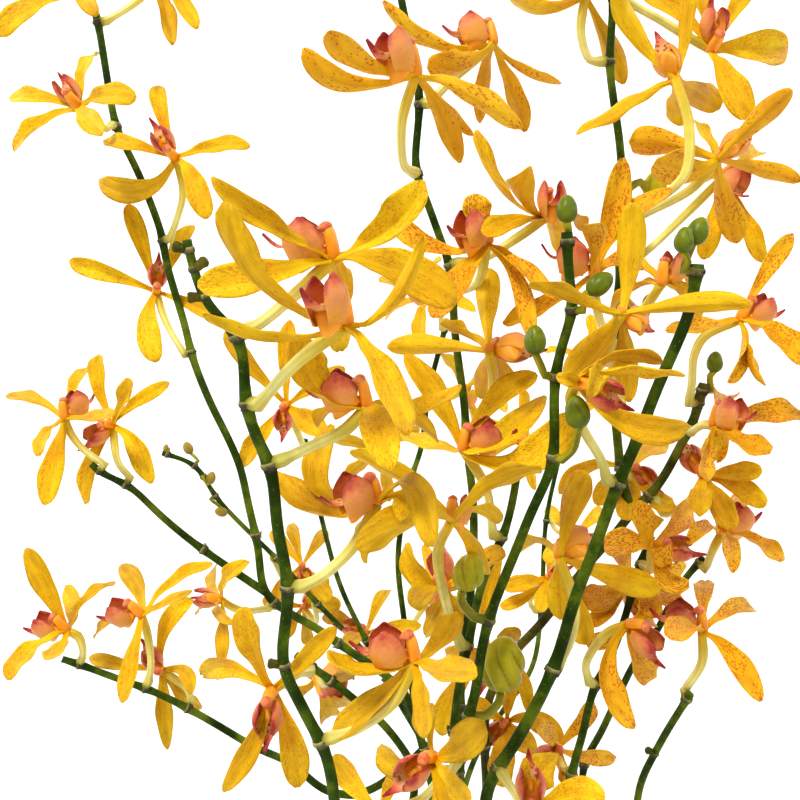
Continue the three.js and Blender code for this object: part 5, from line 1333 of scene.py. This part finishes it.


# Buds. Closed green flowers on short stems: three-sided ovals with a groove along each sepal's edge,
# darkened with painted shade.
# The two largest are close to opening, deeply folded and turning yellow.
bud_green, tree, shader = finish("bud_green", 0.3, gloss=0.2)
place = in_object(tree)
along, around, ripe = growth(tree)
shade = calc(tree, "MULTIPLY_ADD", mottle(tree, place, 150), 0.4, times(tree, along, 0.5))
green = shades(tree, shade, (0, dye(56, 82, 3)), (0.5, dye(80, 102, 8)), (1, dye(118, 128, 18)))
yellow = shades(tree, shade, (0, dye(150, 146, 3)), (1, dye(226, 204, 30)))
colour = mingle(tree, calc(tree, "MINIMUM", ripe, 1), green, yellow)
# Painted shade: the colour darkens into each crease and seam, as if the folds lay in shadow.
painted_crease_shade = fading(tree, around, 0.0, 0.6)
colour = mingle(tree, times(tree, painted_crease_shade, 0.6), colour, dye(74, 74, 4))
dull = calc(tree, "MAXIMUM", calc(tree, "SUBTRACT", ripe, 1), 0)
paint(tree, shader, mingle(tree, dull, colour, dye(128, 98, 52)))
relief(tree, shader, mottle(tree, place, 700), 0.2, 0.0003)

put_down_all()
bpy.ops.mesh.primitive_uv_sphere_add(segments=42, ring_count=20, radius=1)
ball_points, ball_faces = pattern_of(bpy.context.object)
TURNING = 12


def bud(branch, spot, via, at, near, length, point):
    """A bud and its stem. Ripe is 0 to 1 from green to yellow, and above 1 where it is fading."""
    centre = seen(*at, near)
    way = Vector((point[0], -point[2], point[1])).normalized()
    turn = way.to_track_quat("Z", "Y").to_matrix().to_4x4()
    folded = length > TURNING
    ripe = 1.0 if length == TURNING else 0.75 if folded else 1.7 if branch == "back_left" else 0.1
    stout, sunk = (0.88, 0.36) if folded else (0.8, 0.14)
    places, marks = [], []
    for x, y, z in ball_points:
        around = math.atan2(y, x) + 0.5 * z
        lap = 1.5 * around / math.pi % 1
        crease = 1 - abs(math.sin(2.5 * around + 1.3 * z)) ** 0.6 if folded else (1 - lap) ** 4
        seam = crease * (1 - z ** 4)
        share = (z + 1) / 2
        slender = stout * (1 - sunk * seam) * (1.06 - 0.26 * share)
        places.append((x * slender * length / 2, y * slender * length / 2, z * length / 2))
        # The second mark is 0 in the creases and 1 on the open sides; the bud's finish paints shade into the
        # creases from it.
        marks.append((share, 1 - seam, ripe))
    points = moved(np.array(places), Matrix.Translation(centre) @ turn)
    line = stem_line(branch, spot, via, centre - way * length * 0.42)
    thick = 1.5 if length > 11 else 0.9 if length < 8 else 1.2
    radii = [thick + 0.35 * math.exp(-(i / (len(line) - 1) / 0.1) ** 2) for i in range(len(line))]
    return [(points, ball_faces, 2, (0, 0), marks), tube(line, radii, 12, 2, 0.55)]


# The stalks come last, because each flower and bud has by now marked its node on them. Long bare
# stretches get nodes of their own. These numbers are counted in steps along a stalk.
NODE_SPACING = 26
NODE_CLEARANCE = 9
END_CLEARANCE = 20
for spray in [name for name, branch in SPRAYS.items() if "on" not in branch]:
    shapes = []
    for name, branch in SPRAYS.items():
        if spray not in (name, branch.get("on")):
            continue
        shapes += [shape for row in BUDS if row[0] == name for shape in bud(*row)]
        line = branch["line"]
        bare = 24 if "on" not in branch else 14
        while (all(abs(bare - at) > NODE_CLEARANCE for at, _ in branch["nodes"])
               and bare < len(line) - END_CLEARANCE):
            way = (line[bare + 1] - line[bare - 1]).normalized()
            side = way.orthogonal().normalized()
            branch["nodes"].append((bare, Matrix.Rotation(2.4 * bare, 3, way) @ side))
            bare += NODE_SPACING
        radii = []
        for i in range(len(line)):
            share = i / (len(line) - 1)
            swell = sum(0.4 * math.exp(-((i - at) / 1.1) ** 2) for at, _ in branch["nodes"])
            end = 1 - branch.get("bare_tip", 0) * smooth((share - 0.86) / 0.14)
            radii.append(branch["radius"] * (1.12 - 0.28 * share) * end + swell)
        shapes.append(tube(line, radii, 14, 0, branch.get("ripe", 0.15)))
        for spot, (right, up) in branch.get("stubs", []):
            place, way, at = node_on(name, spot)
            side = Vector((right, -0.3, up))
            side = (side - way * side.dot(way)).normalized()
            shapes += [stub(place, way, side, radii[at]), ring(place, way, radii[at])]
        for at, side in branch["nodes"]:
            way = (line[min(at + 1, len(line) - 1)] - line[at - 1]).normalized()
            shapes.append(ring(line[at], way, radii[at]))
            shapes.append(bract(line[at], way, (side - way * side.dot(way)).normalized(), radii[at]))
    piece = gathered(f"spray_{spray}_stalk", shapes)
    face_outwards(piece)
    set_in(piece, [f"spray_{spray}"], "stalk", stalk_green, bract_brown, bud_green)


# Studio. A pale seamless sheet under and behind the plant, soft daylight from the upper left, and the
# camera where the sprays are seen from.
put_down_all()
bpy.ops.mesh.primitive_plane_add(size=1)
sheet = bpy.context.object
sheet.name = "studio_sheet"
sheet.data.clear_geometry()
sweep = [(-6.0, 0.0), (1.2, 0.0)] + [(1.2 + 0.8 * math.sin(t), 0.8 - 0.8 * math.cos(t))
                                     for t in (math.pi / 2 * i / 16 for i in range(1, 17))] + [(2.0, 7.0)]
sheet.data.from_pydata([(x, y, z) for y, z in sweep for x in (-9, 9)], [],
                       [(2 * i, 2 * i + 1, 2 * i + 3, 2 * i + 2) for i in range(len(sweep) - 1)])
sheet.data.polygons.foreach_set("use_smooth", [True] * len(sheet.data.polygons))
paper, tree, shader = finish("studio_paper", 0.9)
fibre = mottle(tree, in_object(tree), 12)
white = shades(tree, fibre, (0, dye(246, 246, 246)), (1, dye(250, 250, 250)))
paint(tree, shader, white)
sheet.data.materials.append(paper)

world = bpy.data.worlds.new("studio")
bpy.context.scene.world = world
world.use_nodes = True
world.node_tree.nodes["Background"].inputs["Color"].default_value = (1, 1, 1, 1)
world.node_tree.nodes["Background"].inputs["Strength"].default_value = 0.5


def lamp(name, place, target, size, power):
    light = bpy.data.lights.new(name, "AREA")
    light.size = size
    light.energy = power
    piece = bpy.data.objects.new(name, light)
    bpy.context.collection.objects.link(piece)
    piece.location = place
    piece.rotation_euler = (Vector(target) - Vector(place)).to_track_quat("-Z", "Y").to_euler()


lamp("key", (-0.7, -1.2, 2.1), (0, 0, 0.7), 0.5, 34)
lamp("fill", (1.2, -1.2, 1.2), (0, 0, 0.7), 1.2, 6)
lamp("paper_left", (-1.6, 0.6, 1.6), (-0.3, 2.0, 0.9), 1.0, 26)
lamp("paper_right", (1.6, 0.6, 1.6), (0.3, 2.0, 0.9), 1.0, 26)

camera = bpy.data.cameras.new("camera")
camera.sensor_width = 36
camera.lens = camera.sensor_width * FOCAL / PICTURE
camera.clip_start = 0.02
viewer = bpy.data.objects.new("camera", camera)
bpy.context.collection.objects.link(viewer)
viewer.location = SIGHT * MM
viewer.rotation_euler = (math.pi / 2, 0, 0)
bpy.context.scene.camera = viewer
bpy.context.scene.view_settings.view_transform = "Standard"
